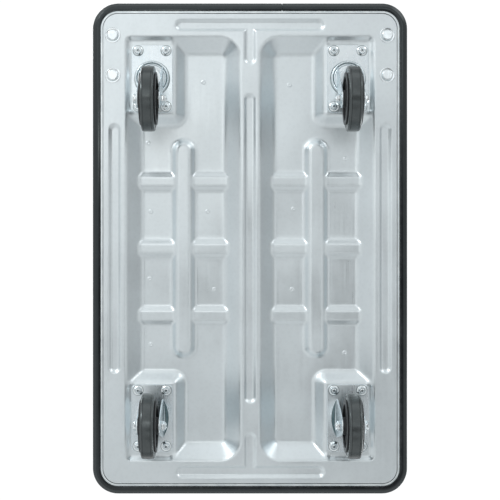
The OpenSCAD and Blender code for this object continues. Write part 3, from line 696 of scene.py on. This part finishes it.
def bumper_strip():
    """The rubber strip: its section, drawn at the joint, is led along each side and round each corner."""
    section = arc(-1.2, 116.4, 0.6, 180, 270, 3) + arc(4.2, 117.3, 1.5, -90, -53, 4)
    section += arc(8.3, 121.27, 2.2, -53, 0, 5) + groove(10.5, 126.4) + groove(10.5, 133.8)
    section += arc(4.0, 138.2, 6.5, 0, 90, 9) + arc(-0.4, 144.1, 0.6, 90, 180, 3)
    section += [(-1.0, 142.8), (0.1, 142.8), (0.1, 117.7), (-1.8, 117.7)]
    half_w, half_l, r = RIM[0] / 2, RIM[1] / 2, RIM[2]
    joint_x = 48.0
    gap = 0.1
    chamfer = 0.9
    pinched = (1, 0.86, 0.93)
    middle = Vector((0, -half_l - 5.0, 130.0)) * MM
    mesh = bpy.data.meshes.new("bumper_strip")
    outline = [((joint_x + gap) * MM, -(half_l + u) * MM, z * MM) for u, z in section]
    mesh.from_pydata(outline, [], [list(range(len(section)))])
    strip = new_piece("bumper_strip", mesh)
    edit(strip)
    bpy.ops.transform.resize(value=pinched, center_override=middle)
    bpy.ops.mesh.extrude_region_move(TRANSFORM_OT_translate={"value": (chamfer * MM, 0, 0)})
    bpy.ops.transform.resize(value=[1 / scale for scale in pinched], center_override=middle)
    corner = Vector((half_w - r, half_l - r, 0.0))
    runs = [
        (Vector((corner.x - joint_x - gap - chamfer, 0, 0)), Vector((corner.x, -corner.y, 0))),
        (Vector((0, 2 * corner.y, 0)), Vector((corner.x, corner.y, 0))),
        (Vector((-2 * corner.x, 0, 0)), Vector((-corner.x, corner.y, 0))),
        (Vector((0, -2 * corner.y, 0)), Vector((-corner.x, -corner.y, 0))),
        (Vector((joint_x - gap - chamfer + corner.x, 0, 0)), None),
    ]
    for run, turn in runs:
        bpy.ops.mesh.extrude_region_move(TRANSFORM_OT_translate={"value": run * MM})
        if turn is not None:
            bpy.ops.mesh.spin(steps=14, angle=-math.pi / 2, center=turn * MM, axis=(0, 0, 1))
    bpy.ops.mesh.extrude_region_move(TRANSFORM_OT_translate={"value": (chamfer * MM, 0, 0)})
    bpy.ops.transform.resize(value=pinched, center_override=middle)
    close_outward(merge=True)
    smooth(strip, 40)
    dress(strip, "bumper")


def mat_ribs():
    """Long anti-slip ribs on the mat, one modelled and repeated across it."""
    count = 43
    pitch = 8.6
    size = Matrix.Diagonal((4.6 * MM, 676.0 * MM, 1.1 * MM, 1.0))
    deselect()
    bpy.ops.mesh.primitive_cube_add(size=1.0, location=(0, 0, 0))
    rib = bpy.context.object
    rib.name = "mat_ribs"
    middle = (-(count - 1) * pitch / 2, 0.0, MAT_TOP + 0.25)
    rib.data.transform(Matrix.Translation(Vector(middle) * MM) @ size)
    break_edges(rib, 0.6, 3)
    modify(
        rib, "ARRAY", count=count, use_relative_offset=False, use_constant_offset=True,
        constant_offset_displace=(pitch * MM, 0, 0),
    )
    smooth(rib, 40)
    paint(rib, "deck_vinyl")
    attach(rib, "deck")


def rest_pads():
    """Two rubber buttons that the folded handle lies on."""
    box_low, box_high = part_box("rest_buffers")
    tall = box_high.z / MM - PLATE_TOP
    wide = (box_high.x - LEG_X * MM) / MM
    profile = [(0.0, 0.0), (wide, 0.0), (wide, 1.0)]
    profile += arc(wide - 3.0, tall - 1.5, 1.5, 0, 90, 5) + [(0.0, tall)]
    pad = turned("rest_pads", profile, 40)
    places = [(x, (box_low.y + box_high.y) / 2 / MM, PLATE_TOP) for x in (-LEG_X, LEG_X)]
    pads = joined("rest_pads", copies(pad, places))
    smooth(pads, 35)
    dress(pads, "rest_buffers")


# Casters


def wheel_places():
    """Kind, side and place of each wheel."""
    return [
        (kind, word, side * CASTER_X, TRAIL - CASTER_Y if kind == "swivel" else CASTER_Y)
        for side, word in ((-1, "left"), (1, "right")) for kind in ("swivel", "fixed")
    ]


def tyre_ring(node, x, y):
    """A tyre with a crowned tread, rounded shoulders, a mould line and stepped side walls."""
    half = [(35.7, 9.4), (37.9, 9.4), (38.6, 8.9), (42.0, 8.9), (42.6, 9.5)]
    half += arc(44.2, 6.9, 2.6, 90, 20, 5)
    half += [(46.85, 6.3), (46.3, 6.0), (46.3, 5.5), (46.9, 5.2), (47.0, 2.0), (47.0, 0.1)]
    ring = moved(lay_along_x(turned(node + "_ring", mirrored(half), 96, closed=True)), x, y, AXLE_Z)
    smooth(ring, 32)
    dress(ring, node)


def wheel_core(node, x, y):
    """A moulded wheel: hub, web and channel rim turned in one, with radial ribs on both faces."""
    half = [(6.1, 13.4), (6.7, 14.0), (11.9, 14.0), (12.5, 13.4), (12.9, 4.6), (14.0, 3.5), (30.2, 3.5)]
    half += [(31.2, 4.4), (31.5, 11.6), (32.1, 12.2), (37.3, 12.2), (38.0, 11.6), (38.0, 10.6)]
    half += [(37.5, 10.1), (35.5, 10.1)]
    core = turned(node + "_core", mirrored(half), 72, closed=True)
    rib = plate("web_rib", [
        (12.0, -1.5, -10.0), (32.0, -1.5, -10.0), (32.0, -1.5, 10.0), (12.0, -1.5, 10.0),
    ], (0, 3.0, 0), 0.5)
    ribs = [rib] + [new_piece("web_rib", rib.data.copy()) for _ in range(WEB_RIBS - 1)]
    for i, one in enumerate(ribs):
        one.data.transform(Matrix.Rotation(i * 2 * math.pi / WEB_RIBS, 4, "Z"))
    smooth(core, 40)
    core = moved(lay_along_x(joined(node + "_core", [core] + ribs)), x, y, AXLE_Z)
    dress(core, node)


def touch(point, middle, r, hand):
    """Where a line from a point touches a circle, to the left (1) or right (-1)."""
    to = Vector(middle) - Vector(point)
    turn = math.atan2(to.y, to.x) + hand * math.asin(r / to.length)
    return Vector(point) + math.sqrt(to.length ** 2 - r ** 2) * Vector((math.cos(turn), math.sin(turn)))


def leg_outline(root_half, root_z, axle_y):
    """Side view of a leg in Y and Z, from its root down to the round end at the axle."""
    axle = (axle_y, AXLE_Z)
    back = touch((-root_half, root_z), axle, LEG_END_R, -1)
    front = touch((root_half, root_z), axle, LEG_END_R, 1)
    start = math.degrees(math.atan2(back.y - axle[1], back.x - axle[0]))
    end = math.degrees(math.atan2(front.y - axle[1], front.x - axle[0]))
    start += 360.0 if start < 0 else 0.0
    end += 360.0 if end < start else 0.0
    return [(-root_half, root_z)] + arc(*axle, LEG_END_R, start, end, 16) + [(root_half, root_z)]


def leg_pair(root_half, root_z, axle_y):
    """The two legs of a caster, each drawn out along X from its left face."""
    outline = leg_outline(root_half, root_z, axle_y)
    return [plate("leg", [(x, y, z) for y, z in outline], (LEG_THICK, 0, 0), 0.7, 3) for x in LEG_FACES]


def seat_plate(name):
    return plate(name, rounded_outline(31.0, 50.5, 8.0, SEAT_Z), (0, 0, 3.0), 0.8, 3)


def swivel_head(word, x):
    """The swivel caster's plate, and the fork hung below it with its kingpin and lower race."""
    dress(moved(seat_plate("seat_" + word), x, -CASTER_Y), "swivel_plate_" + word)
    rings = [(5.2, 117.2), (5.2, 114.7), (13.9, 114.7), (14.4, 114.3), (15.6, 114.3), (16.2, 114.7)]
    rings += [(18.3, 114.7), (18.6, 115.6), (19.3, 115.6)] + arc(20.6, 115.7, 1.2, 180, 360, 6)
    rings += [(22.0, 116.3), (22.7, 116.3)]
    rings += arc(24.1, 116.1, 1.4, 180, 360, 8) + [(25.5, 120.5), (23.0, 120.5), (23.0, 117.2)]
    crown = turned("crown", rings, 72, closed=True)
    smooth(crown, 38)
    fork = joined("fork_" + word, [crown] + leg_pair(16.5, 115.95, TRAIL))
    dress(moved(fork, x, -CASTER_Y), "swivel_fork_" + word)
    cap = turned("cap", [
        (5.1, 111.9), (13.0, 111.9), (13.75, 111.2), (13.75, 110.5), (13.1, 109.9), (9.0, 109.9),
        (5.1, 110.3),
    ], 56, closed=True)
    smooth(cap, 38)
    dress(moved(cap, x, -CASTER_Y), "race_cap_" + word)
    pin = turned("pin", [
        (0.0, 107.9), (2.2, 107.9), (2.8, 107.35), (6.6, 107.3), (7.6, 107.8), (8.0, 108.8), (8.0, 109.8),
        (5.0, 109.9), (5.0, 124.0), (0.0, 124.0),
    ], 48)
    smooth(pin, 38)
    dress(moved(pin, x, -CASTER_Y), "kingpin_" + word)


def bend_rings(side, start, end, across, stand):
    """Rings of points across a bend, from one angle to another: widest midway, run out at its ends."""
    rings = []
    for i in range(17):
        y = -BEND_HALF + 3.5 * i
        r = max(BEND_R * (1.0 - (y / BEND_HALF) ** 2), 0.05)
        points = arc(BEND_FACE + r, SEAT_Z - r, max(r - stand, 0.02), start, end, across)
        rings.append([(side * u, y, z) for u, z in points])
    return rings


def lofted(name, rings, closed):
    """A skin drawn over rings of points in millimetres."""
    count = len(rings[0])
    last = count if closed else count - 1
    faces = [
        (i * count + j, i * count + (j + 1) % count, (i + 1) * count + (j + 1) % count, (i + 1) * count + j)
        for i in range(len(rings) - 1) for j in range(last)
    ]
    if closed:
        faces += [tuple(range(count)), tuple(range((len(rings) - 1) * count, len(rings) * count))]
    mesh = bpy.data.meshes.new(name)
    mesh.from_pydata([Vector(point) * MM for ring in rings for point in ring], [], faces)
    piece = new_piece(name, mesh)
    edit(piece)
    close_outward()
    smooth(piece, 40)
    return piece


def bend(side):
    """The bend between a fixed bracket's plate and one leg."""
    rings = bend_rings(side, 180, 90, 8, 0.0)
    sunk_x = side * 16.5
    sunk_z = SEAT_Z + 0.5
    for ring in rings:
        root = [(ring[-1][0], sunk_z), (sunk_x, sunk_z), (sunk_x, ring[0][2])]
        ring += [(u, ring[0][1], z) for u, z in root]
    return lofted("bend", rings, True)


def bend_shadow(word, x, side):
    """The dark crescent of painted shade in the bend on the inner side of a fixed bracket."""
    # A thin dark skin just off the bend, painted shade.
    crescent = lofted("bend_painted_shade_" + word, bend_rings(side, 132, 88, 5, 0.08), False)
    if crescent.data.polygons[0].normal.z > 0:
        crescent.data.flip_normals()
    moved(crescent, x, CASTER_Y)
    paint(crescent, "bend_painted_shade")
    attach(crescent, body_of_node["fixed_bracket_" + word])


def fixed_bracket(word, x):
    """The fixed caster's plate with its two bent legs."""
    pieces = [seat_plate("fixed_seat")] + leg_pair(29.0, 122.5, 0.0) + [bend(-1), bend(1)]
    dress(moved(joined("rigid_bracket_" + word, pieces), x, CASTER_Y), "fixed_bracket_" + word)
    bend_shadow(word, x, -1 if x > 0 else 1)


def axle_screw(name, way):
    """An axle bolt along X with its lock nut, which is on the right (1) or on the left (-1)."""
    head = hexagon("axle_head", 12.8, 22.3, 17.1)
    shank = turned("axle_shank", [(0.0, -26.1), (3.2, -26.1), (4.0, -25.3), (4.0, 17.2), (0.0, 17.2)], 32)
    smooth(shank, 38)
    screw = joined(name, [shank, head])
    lock = turned("axle_collar", [
        (4.0, -23.4), (5.7, -23.4), (5.5, -24.6), (4.6, -25.1), (4.0, -24.9),
    ], 32, closed=True)
    smooth(lock, 38)
    nut = joined(name + "_nut", [hexagon("axle_nut", 12.8, -23.6, -17.1), lock])
    for piece in (screw, nut):
        lay_along_x(piece)
        if way > 0:
            piece.data.transform(Matrix.Rotation(math.pi, 4, "Z"))
    return screw, nut


def nut_way(node, x):
    """The side, as 1 or -1, to which an axle bolt's node stands out further from x."""
    low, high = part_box(node)
    return 1 if high.x - x * MM > x * MM - low.x else -1


def axle_screws():
    """The axle bolts and nuts of all four casters, the fixed ones in pairs."""
    fixed = []
    for word, side in (("left", -1), ("right", 1)):
        x = side * CASTER_X
        way = nut_way("swivel_axle_bolt_" + word, x)
        screw, nut = axle_screw("swivel_axle_" + word, way)
        dress(moved(screw, x, TRAIL - CASTER_Y, AXLE_Z), "swivel_axle_bolt_" + word)
        dress(moved(nut, x, TRAIL - CASTER_Y, AXLE_Z), "swivel_axle_nut_" + word)
        screw, nut = axle_screw("fixed_axle", way)
        fixed.append((moved(screw, x, CASTER_Y, AXLE_Z), moved(nut, x, CASTER_Y, AXLE_Z)))
    dress(joined("fixed_axle_screws", [pair[0] for pair in fixed]), "fixed_axle_bolts")
    dress(joined("fixed_axle_lock_nuts", [pair[1] for pair in fixed]), "fixed_axle_nuts")


def flat_ring(name, inner, outer):
    """A thin ring of painted shade on the face of a seat plate."""
    low, high = SEAT_Z - 0.06, SEAT_Z + 0.1
    return turned(name, [(inner, high), (outer, high), (outer, low), (inner, low)], 48, closed=True)


def from_seat(*points):
    """Profile points with their heights measured from the face of the seat plates."""
    return [(r, SEAT_Z + h) for r, h in points]


def seat_fasteners():
    """Flange nuts on the seat plates with rings of painted shade round them and round the swivel crowns,
    and the threaded ends of the bolts standing out.
    """
    places = [
        (sx * CASTER_X + bx * SEAT_BOLT[0], sy * CASTER_Y + by * SEAT_BOLT[1], 0.0)
        for sx in (-1, 1) for sy in (-1, 1) for bx in (-1, 1) for by in (-1, 1)
    ]
    flange = turned("seat_flange", from_seat(
        (3.3, 0.2), (7.2, 0.2), (7.4, -0.3), (7.2, -0.7), (5.7, -1.4), (5.4, -1.3), (5.2, -0.2),
        (3.3, -0.1),
    ), 40, closed=True)
    collar = turned("seat_collar", from_seat(
        (2.9, -5.0), (4.4, -5.0), (4.4, -6.0), (4.2, -6.3), (3.5, -6.3), (3.3, -6.0), (2.9, -5.1),
    ), 32, closed=True)
    smooth(flange, 32)
    smooth(collar, 32)
    nut = joined("seat_nut", [hexagon("seat_nut", 8.8, SEAT_Z - 5.6, SEAT_Z), flange, collar])
    dress(joined("seat_nuts", copies(nut, places)), "caster_nuts")
    # Rings of painted shade round each seat nut and each swivel crown.
    nut_ring = flat_ring("seat_painted_shade", 7.0, 8.3)
    crown_ring = flat_ring("crown_painted_shade", 25.2, 27.0)
    crowns = [(sx * CASTER_X, -CASTER_Y, 0.0) for sx in (-1, 1)]
    rings = joined("seat_painted_shade", copies(nut_ring, places) + copies(crown_ring, crowns))
    paint(rings, "seat_painted_shade")
    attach(rings, body_of_node["caster_nuts"])
    pitch = 0.8
    thread = from_seat((0.0, -6.0), (1.2, -6.1), (1.9, -7.0), (2.3, -7.0), (2.9, -6.4))
    for i in range(4):
        thread += [(2.9, SEAT_Z - 6.4 + i * pitch), (2.5, SEAT_Z - 6.0 + i * pitch)]
    thread += [(2.95, SEAT_Z - 3.0), (2.95, 126.0), (0.0, 126.0)]
    end = turned("seat_bolt", thread, 32)
    smooth(end, 32)
    bolt = joined("seat_bolt", [end, hexagon("seat_head", 9.6, 129.1, 125.2)])
    dress(joined("seat_bolts", copies(bolt, places)), "caster_bolts")


# Handle and its fasteners


def bracket_fasteners():
    """Low round bolt heads on washers under the deck, and their thin nuts on the brackets' feet."""
    places = [(sx * LEG_X, PIVOT[0] + by * BRACKET_BOLT_Y, 0.0) for sx in (-1, 1) for by in (-1, 1)]
    low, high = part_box("bracket_bolts")
    low_z, high_z = low.z / MM, high.z / MM
    head_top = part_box("bracket_washers")[0].z / MM
    head = [(0.0, low_z), (6.0, low_z + 0.1)] + arc(6.9, low_z + 1.2, 1.1, -90, 0, 4)
    head += [(8.0, head_top - 0.2), (7.8, head_top)]
    shank = [(4.0, head_top), (4.0, high_z - 0.8), (3.2, high_z), (0.0, high_z)]
    bolt = turned("bracket_bolt", head + shank, 48)
    smooth(bolt, 38)
    dress(joined("bracket_bolt_set", copies(bolt, places)), "bracket_bolts")
    washer = turned("washer", [(r, head_top + h) for r, h in (
        (4.2, 1.2), (11.2, 1.2), (11.5, 0.9), (11.5, 0.4), (11.0, 0.0), (9.4, 0.0), (8.9, 0.15),
        (4.2, 0.15),
    )], 56, closed=True)
    smooth(washer, 38)
    dress(joined("washer_set", copies(washer, places)), "bracket_washers")
    nut_low, nut_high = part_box("bracket_nuts")
    nut = hexagon("bracket_nut", 12.8, nut_high.z / MM, nut_low.z / MM)
    dress(joined("bracket_nut_set", copies(nut, places)), "bracket_nuts")


def ribbed_sleeve(node, outer, inner, length, pitch, depth, place):
    """A soft sleeve on a bar, with round ends and fine rings to hold on to."""
    half = length / 2
    collar = 7.0
    rings = int((length - 2 * collar) / pitch)
    start = -rings * pitch / 2
    profile = [(inner, -half + 0.6), (inner + 0.6, -half)]
    profile += [(outer - 2.0, -half), (outer - 0.6, -half + 0.6), (outer, -half + 2.0)]
    profile += [(outer, start - 1.0)]
    for i in range(rings):
        z = start + i * pitch
        profile += [(outer - depth, z), (outer - depth, z + 0.25 * pitch), (outer - 0.2, z + 0.4 * pitch)]
        profile += [(outer, z + 0.65 * pitch), (outer - 0.2, z + 0.9 * pitch)]
    profile += [(outer - depth, -start)]
    profile += [(outer, 1.0 - start), (outer, half - 2.0), (outer - 0.6, half - 0.6), (outer - 2.0, half)]
    profile += [(inner + 0.6, half), (inner, half - 0.6)]
    sleeve = moved(lay_along_x(turned(node + "_sleeve", profile, 40, closed=True)), *place)
    smooth(sleeve, 50)
    dress(sleeve, node)


pressed_pan()
weld_marks()
bumper_strip()
mat_ribs()
rest_pads()
for kind, word, x, y in wheel_places():
    tyre_ring("tyre_%s_%s" % (kind, word), x, y)
    wheel_core("wheel_%s_%s" % (kind, word), x, y)
for word, x in (("left", -CASTER_X), ("right", CASTER_X)):
    swivel_head(word, x)
    fixed_bracket(word, x)
axle_screws()
seat_fasteners()
bracket_fasteners()

bar_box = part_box("drop_bar")
grip_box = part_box("handle_grip")
bar_y = (bar_box[0].y + bar_box[1].y) / 2 / MM
grip_y = (grip_box[0].y + grip_box[1].y) / 2 / MM
ribbed_sleeve("handle_grip", 15.0, 11.3, 280.0, 7.0, 0.9, (0.0, grip_y, PIVOT[1]))
ribbed_sleeve("foot_sleeve", 10.0, 5.3, 160.0, 6.0, 0.7, (0.0, bar_y, PIVOT[1]))


# Floor, light and camera, in metres

# Each lamp's name, place, aim, width, height, watts and colour
TOP_AIM = (0, 0, 0.1)
UNDER_AIM = (0, 0, 0.12)
LAMPS = (
    ("Key", (-1.3, -1.5, 1.9), TOP_AIM, 1.6, 1.2, 55.0, (1.0, 1.0, 1.0)),
    ("Fill", (1.7, 1.0, 1.3), TOP_AIM, 1.4, 1.4, 22.0, (1.0, 1.0, 1.0)),
    ("Under", (-0.22, -0.32, -1.55), UNDER_AIM, 0.16, 0.14, 0.25, (1.0, 0.97, 0.92)),
    ("Window", (-1.4, -1.5, -1.45), UNDER_AIM, 0.5, 0.5, 8.0, (1.0, 1.0, 1.0)),
)
SHADOWLESS = ("Under",)

# Tones of the room from one end to the other, its lean from left to right, and its floor
WALL_TONES = (
    (0.0, 0.98), (0.25, 0.90), (0.42, 0.64), (0.50, 0.55), (0.58, 0.74), (0.75, 0.78), (1.0, 0.82),
)
LEAN = (1.19, 0.71)
NADIR_TONE = (0.735, 0.748, 0.755)

# The dark patch below: its middle, half size and tone
PATCH_MID = (0.09, 0.08, 0.0)
PATCH_SIZE = (0.14, 0.18)
PATCH_TONE = 0.12

# Windows and shades below the horizon: direction, half width in degrees and gain
GLOWS = (
    ((-0.70, -0.70, -0.08), 22, 0.45), ((0.70, -0.70, -0.08), 22, 1.1),
    ((-0.62, -0.62, -0.48), 15, 1.6), ((0.62, -0.62, -0.48), 15, 1.9),
    ((0.0, -1.0, -0.1), 20, 0.2), ((-0.15, -0.26, -0.95), 15, 0.62), ((0.05, 0.58, -0.81), 13, -0.35),
    ((0.145, -0.172, -0.974), 4.0, 1.1), ((0.03, 0.26, -0.96), 8, 0.35),
)

# Tones above the horizon, from low to high
ABOVE_TONES = (
    (0.02, (0.62, 0.66, 0.68)), (0.18, (0.40, 0.43, 0.44)),
    (0.42, (0.40, 0.42, 0.43)), (0.75, (0.80, 0.81, 0.82)),
)

EYE = (-0.0263, 0.00225, -1.581)
LENS = 81.6
SHIFT_X = 0.035


def floor():
    """Pale paper that fades out with distance and can't be seen from below."""
    deselect()
    bpy.ops.mesh.primitive_plane_add(size=30.0, location=(0, 0, -0.0002))
    plane = bpy.context.object
    plane.name = "studio_floor"
    finish, tree, shader = new_finish("Studio floor", Roughness=0.9)
    link = tree.links.new
    place = add(tree, "ShaderNodeTexCoord").outputs["Object"]
    paper = mix_colour(tree, noise(tree, place, 3.0), (0.80, 0.80, 0.80), (0.84, 0.84, 0.84))
    link(paper, shader.inputs["Base Color"])
    side = add(tree, "ShaderNodeNewGeometry")
    reach = add(tree, "ShaderNodeVectorMath", operation="LENGTH")
    link(place, reach.inputs[0])
    fade = spread(tree, reach.outputs["Value"], 0.0, 1.0, 0.7, 4.0)
    clear = add(tree, "ShaderNodeBsdfTransparent")
    pick = add(tree, "ShaderNodeMixShader")
    link(combine(tree, side.outputs["Backfacing"], fade, "MAXIMUM"), pick.inputs["Fac"])
    link(shader.outputs["BSDF"], pick.inputs[1])
    link(clear.outputs["BSDF"], pick.inputs[2])
    link(pick.outputs["Shader"], tree.nodes["Material Output"].inputs["Surface"])
    plane.data.materials.append(finish)
    plane.visible_diffuse = False
    plane.visible_glossy = False
    plane.visible_transmission = False
    plane.visible_shadow = False


def soft_box(name, place, aim, width, height, power, colour):
    """A rectangular lamp that the camera doesn't see."""
    data = bpy.data.lights.new(name, "AREA")
    data.shape = "RECTANGLE"
    data.size = width
    data.size_y = height
    data.energy = power
    data.color = colour
    data.use_shadow = name not in SHADOWLESS
    lamp = bpy.data.objects.new(name, data)
    bpy.context.collection.objects.link(lamp)
    lamp.location = place
    lamp.rotation_euler = (Vector(aim) - Vector(place)).to_track_quat("-Z", "Y").to_euler()
    lamp.visible_camera = False


def toward(tree, direction, aim, width):
    """One where a direction lies along aim, falling to nothing at width degrees from it."""
    near = add(tree, "ShaderNodeVectorMath", operation="DOT_PRODUCT")
    near.inputs[1].default_value = Vector(aim).normalized()
    tree.links.new(direction, near.inputs[0])
    return soft_step(tree, near.outputs["Value"], math.cos(math.radians(width)), 1.0)


def ramp(tree, value, levels):
    """A colour by a value socket, from stops that each have a place and a grey or a colour."""
    made = add(tree, "ShaderNodeValToRGB")
    tree.links.new(value, made.inputs["Fac"])
    stops = made.color_ramp.elements
    while len(stops) < len(levels):
        stops.new(0.5)
    for stop, (where, level) in zip(stops, levels):
        stop.position = where
        stop.color = (*level, 1.0) if isinstance(level, tuple) else (level, level, level, 1.0)
    return made.outputs["Color"]


def dark_patch(tree, direction):
    """One in the oval patch of directions below, and nothing outside it."""
    offset = add(tree, "ShaderNodeVectorMath", operation="SUBTRACT")
    tree.links.new(direction, offset.inputs[0])
    offset.inputs[1].default_value = PATCH_MID
    scaled = add(tree, "ShaderNodeVectorMath", operation="MULTIPLY")
    tree.links.new(offset.outputs["Vector"], scaled.inputs[0])
    scaled.inputs[1].default_value = (1 / PATCH_SIZE[0], 1 / PATCH_SIZE[1], 0.0)
    reach = add(tree, "ShaderNodeVectorMath", operation="LENGTH")
    tree.links.new(scaled.outputs["Vector"], reach.inputs[0])
    return soft_step(tree, reach.outputs["Value"], 1.3, 0.6)


def studio_world():
    """White to the camera; to the object a pale room with bright windows and a dark patch below."""
    world = bpy.data.worlds.new("Studio")
    bpy.context.scene.world = world
    world.use_nodes = True
    tree = world.node_tree
    link = tree.links.new
    room = tree.nodes["Background"]
    direction = add(tree, "ShaderNodeTexCoord").outputs["Generated"]
    parts = add(tree, "ShaderNodeSeparateXYZ")
    link(direction, parts.inputs["Vector"])
    walls = ramp(tree, spread(tree, parts.outputs["Y"], 0.0, 1.0, -1.0, 1.0), WALL_TONES)
    walls = combine(tree, walls, spread(tree, parts.outputs["X"], *LEAN, -1.0, 1.0), "MULTIPLY")
    below = mix_colour(tree, soft_step(tree, parts.outputs["Z"], -0.35, -0.85), walls, NADIR_TONE)
    patch = spread(tree, dark_patch(tree, direction), 1.0, PATCH_TONE, 0.0, 1.0)
    below = combine(tree, below, patch, "MULTIPLY")
    for aim, width, gain in GLOWS:
        glow = spread(tree, toward(tree, direction, aim, width), 0.0, gain, 0.0, 1.0)
        below = combine(tree, below, glow)
    above = ramp(tree, parts.outputs["Z"], ABOVE_TONES)
    horizon = soft_step(tree, parts.outputs["Z"], -0.02, 0.14)
    link(mix_colour(tree, horizon, below, above), room.inputs["Color"])
    white = add(tree, "ShaderNodeBackground")
    white.inputs["Color"].default_value = (1.0, 1.0, 1.0, 1.0)
    white.inputs["Strength"].default_value = 1.05
    ray = add(tree, "ShaderNodeLightPath")
    pick = add(tree, "ShaderNodeMixShader")
    link(ray.outputs["Is Camera Ray"], pick.inputs["Fac"])
    link(room.outputs["Background"], pick.inputs[1])
    link(white.outputs["Background"], pick.inputs[2])
    link(pick.outputs["Shader"], tree.nodes["World Output"].inputs["Surface"])


def camera():
    """The photograph's view, from straight below."""
    data = bpy.data.cameras.new("Photo camera")
    data.sensor_width = 36.0
    data.lens = LENS
    data.shift_x = SHIFT_X
    data.clip_end = 60.0
    eye = bpy.data.objects.new("Photo camera", data)
    bpy.context.collection.objects.link(eye)
    eye.location = EYE
    eye.rotation_euler = (math.pi, 0.0, 0.0)
    bpy.context.scene.camera = eye


floor()
studio_world()
for lamp in LAMPS:
    soft_box(*lamp)
camera()
bpy.context.scene.view_settings.view_transform = "Standard"
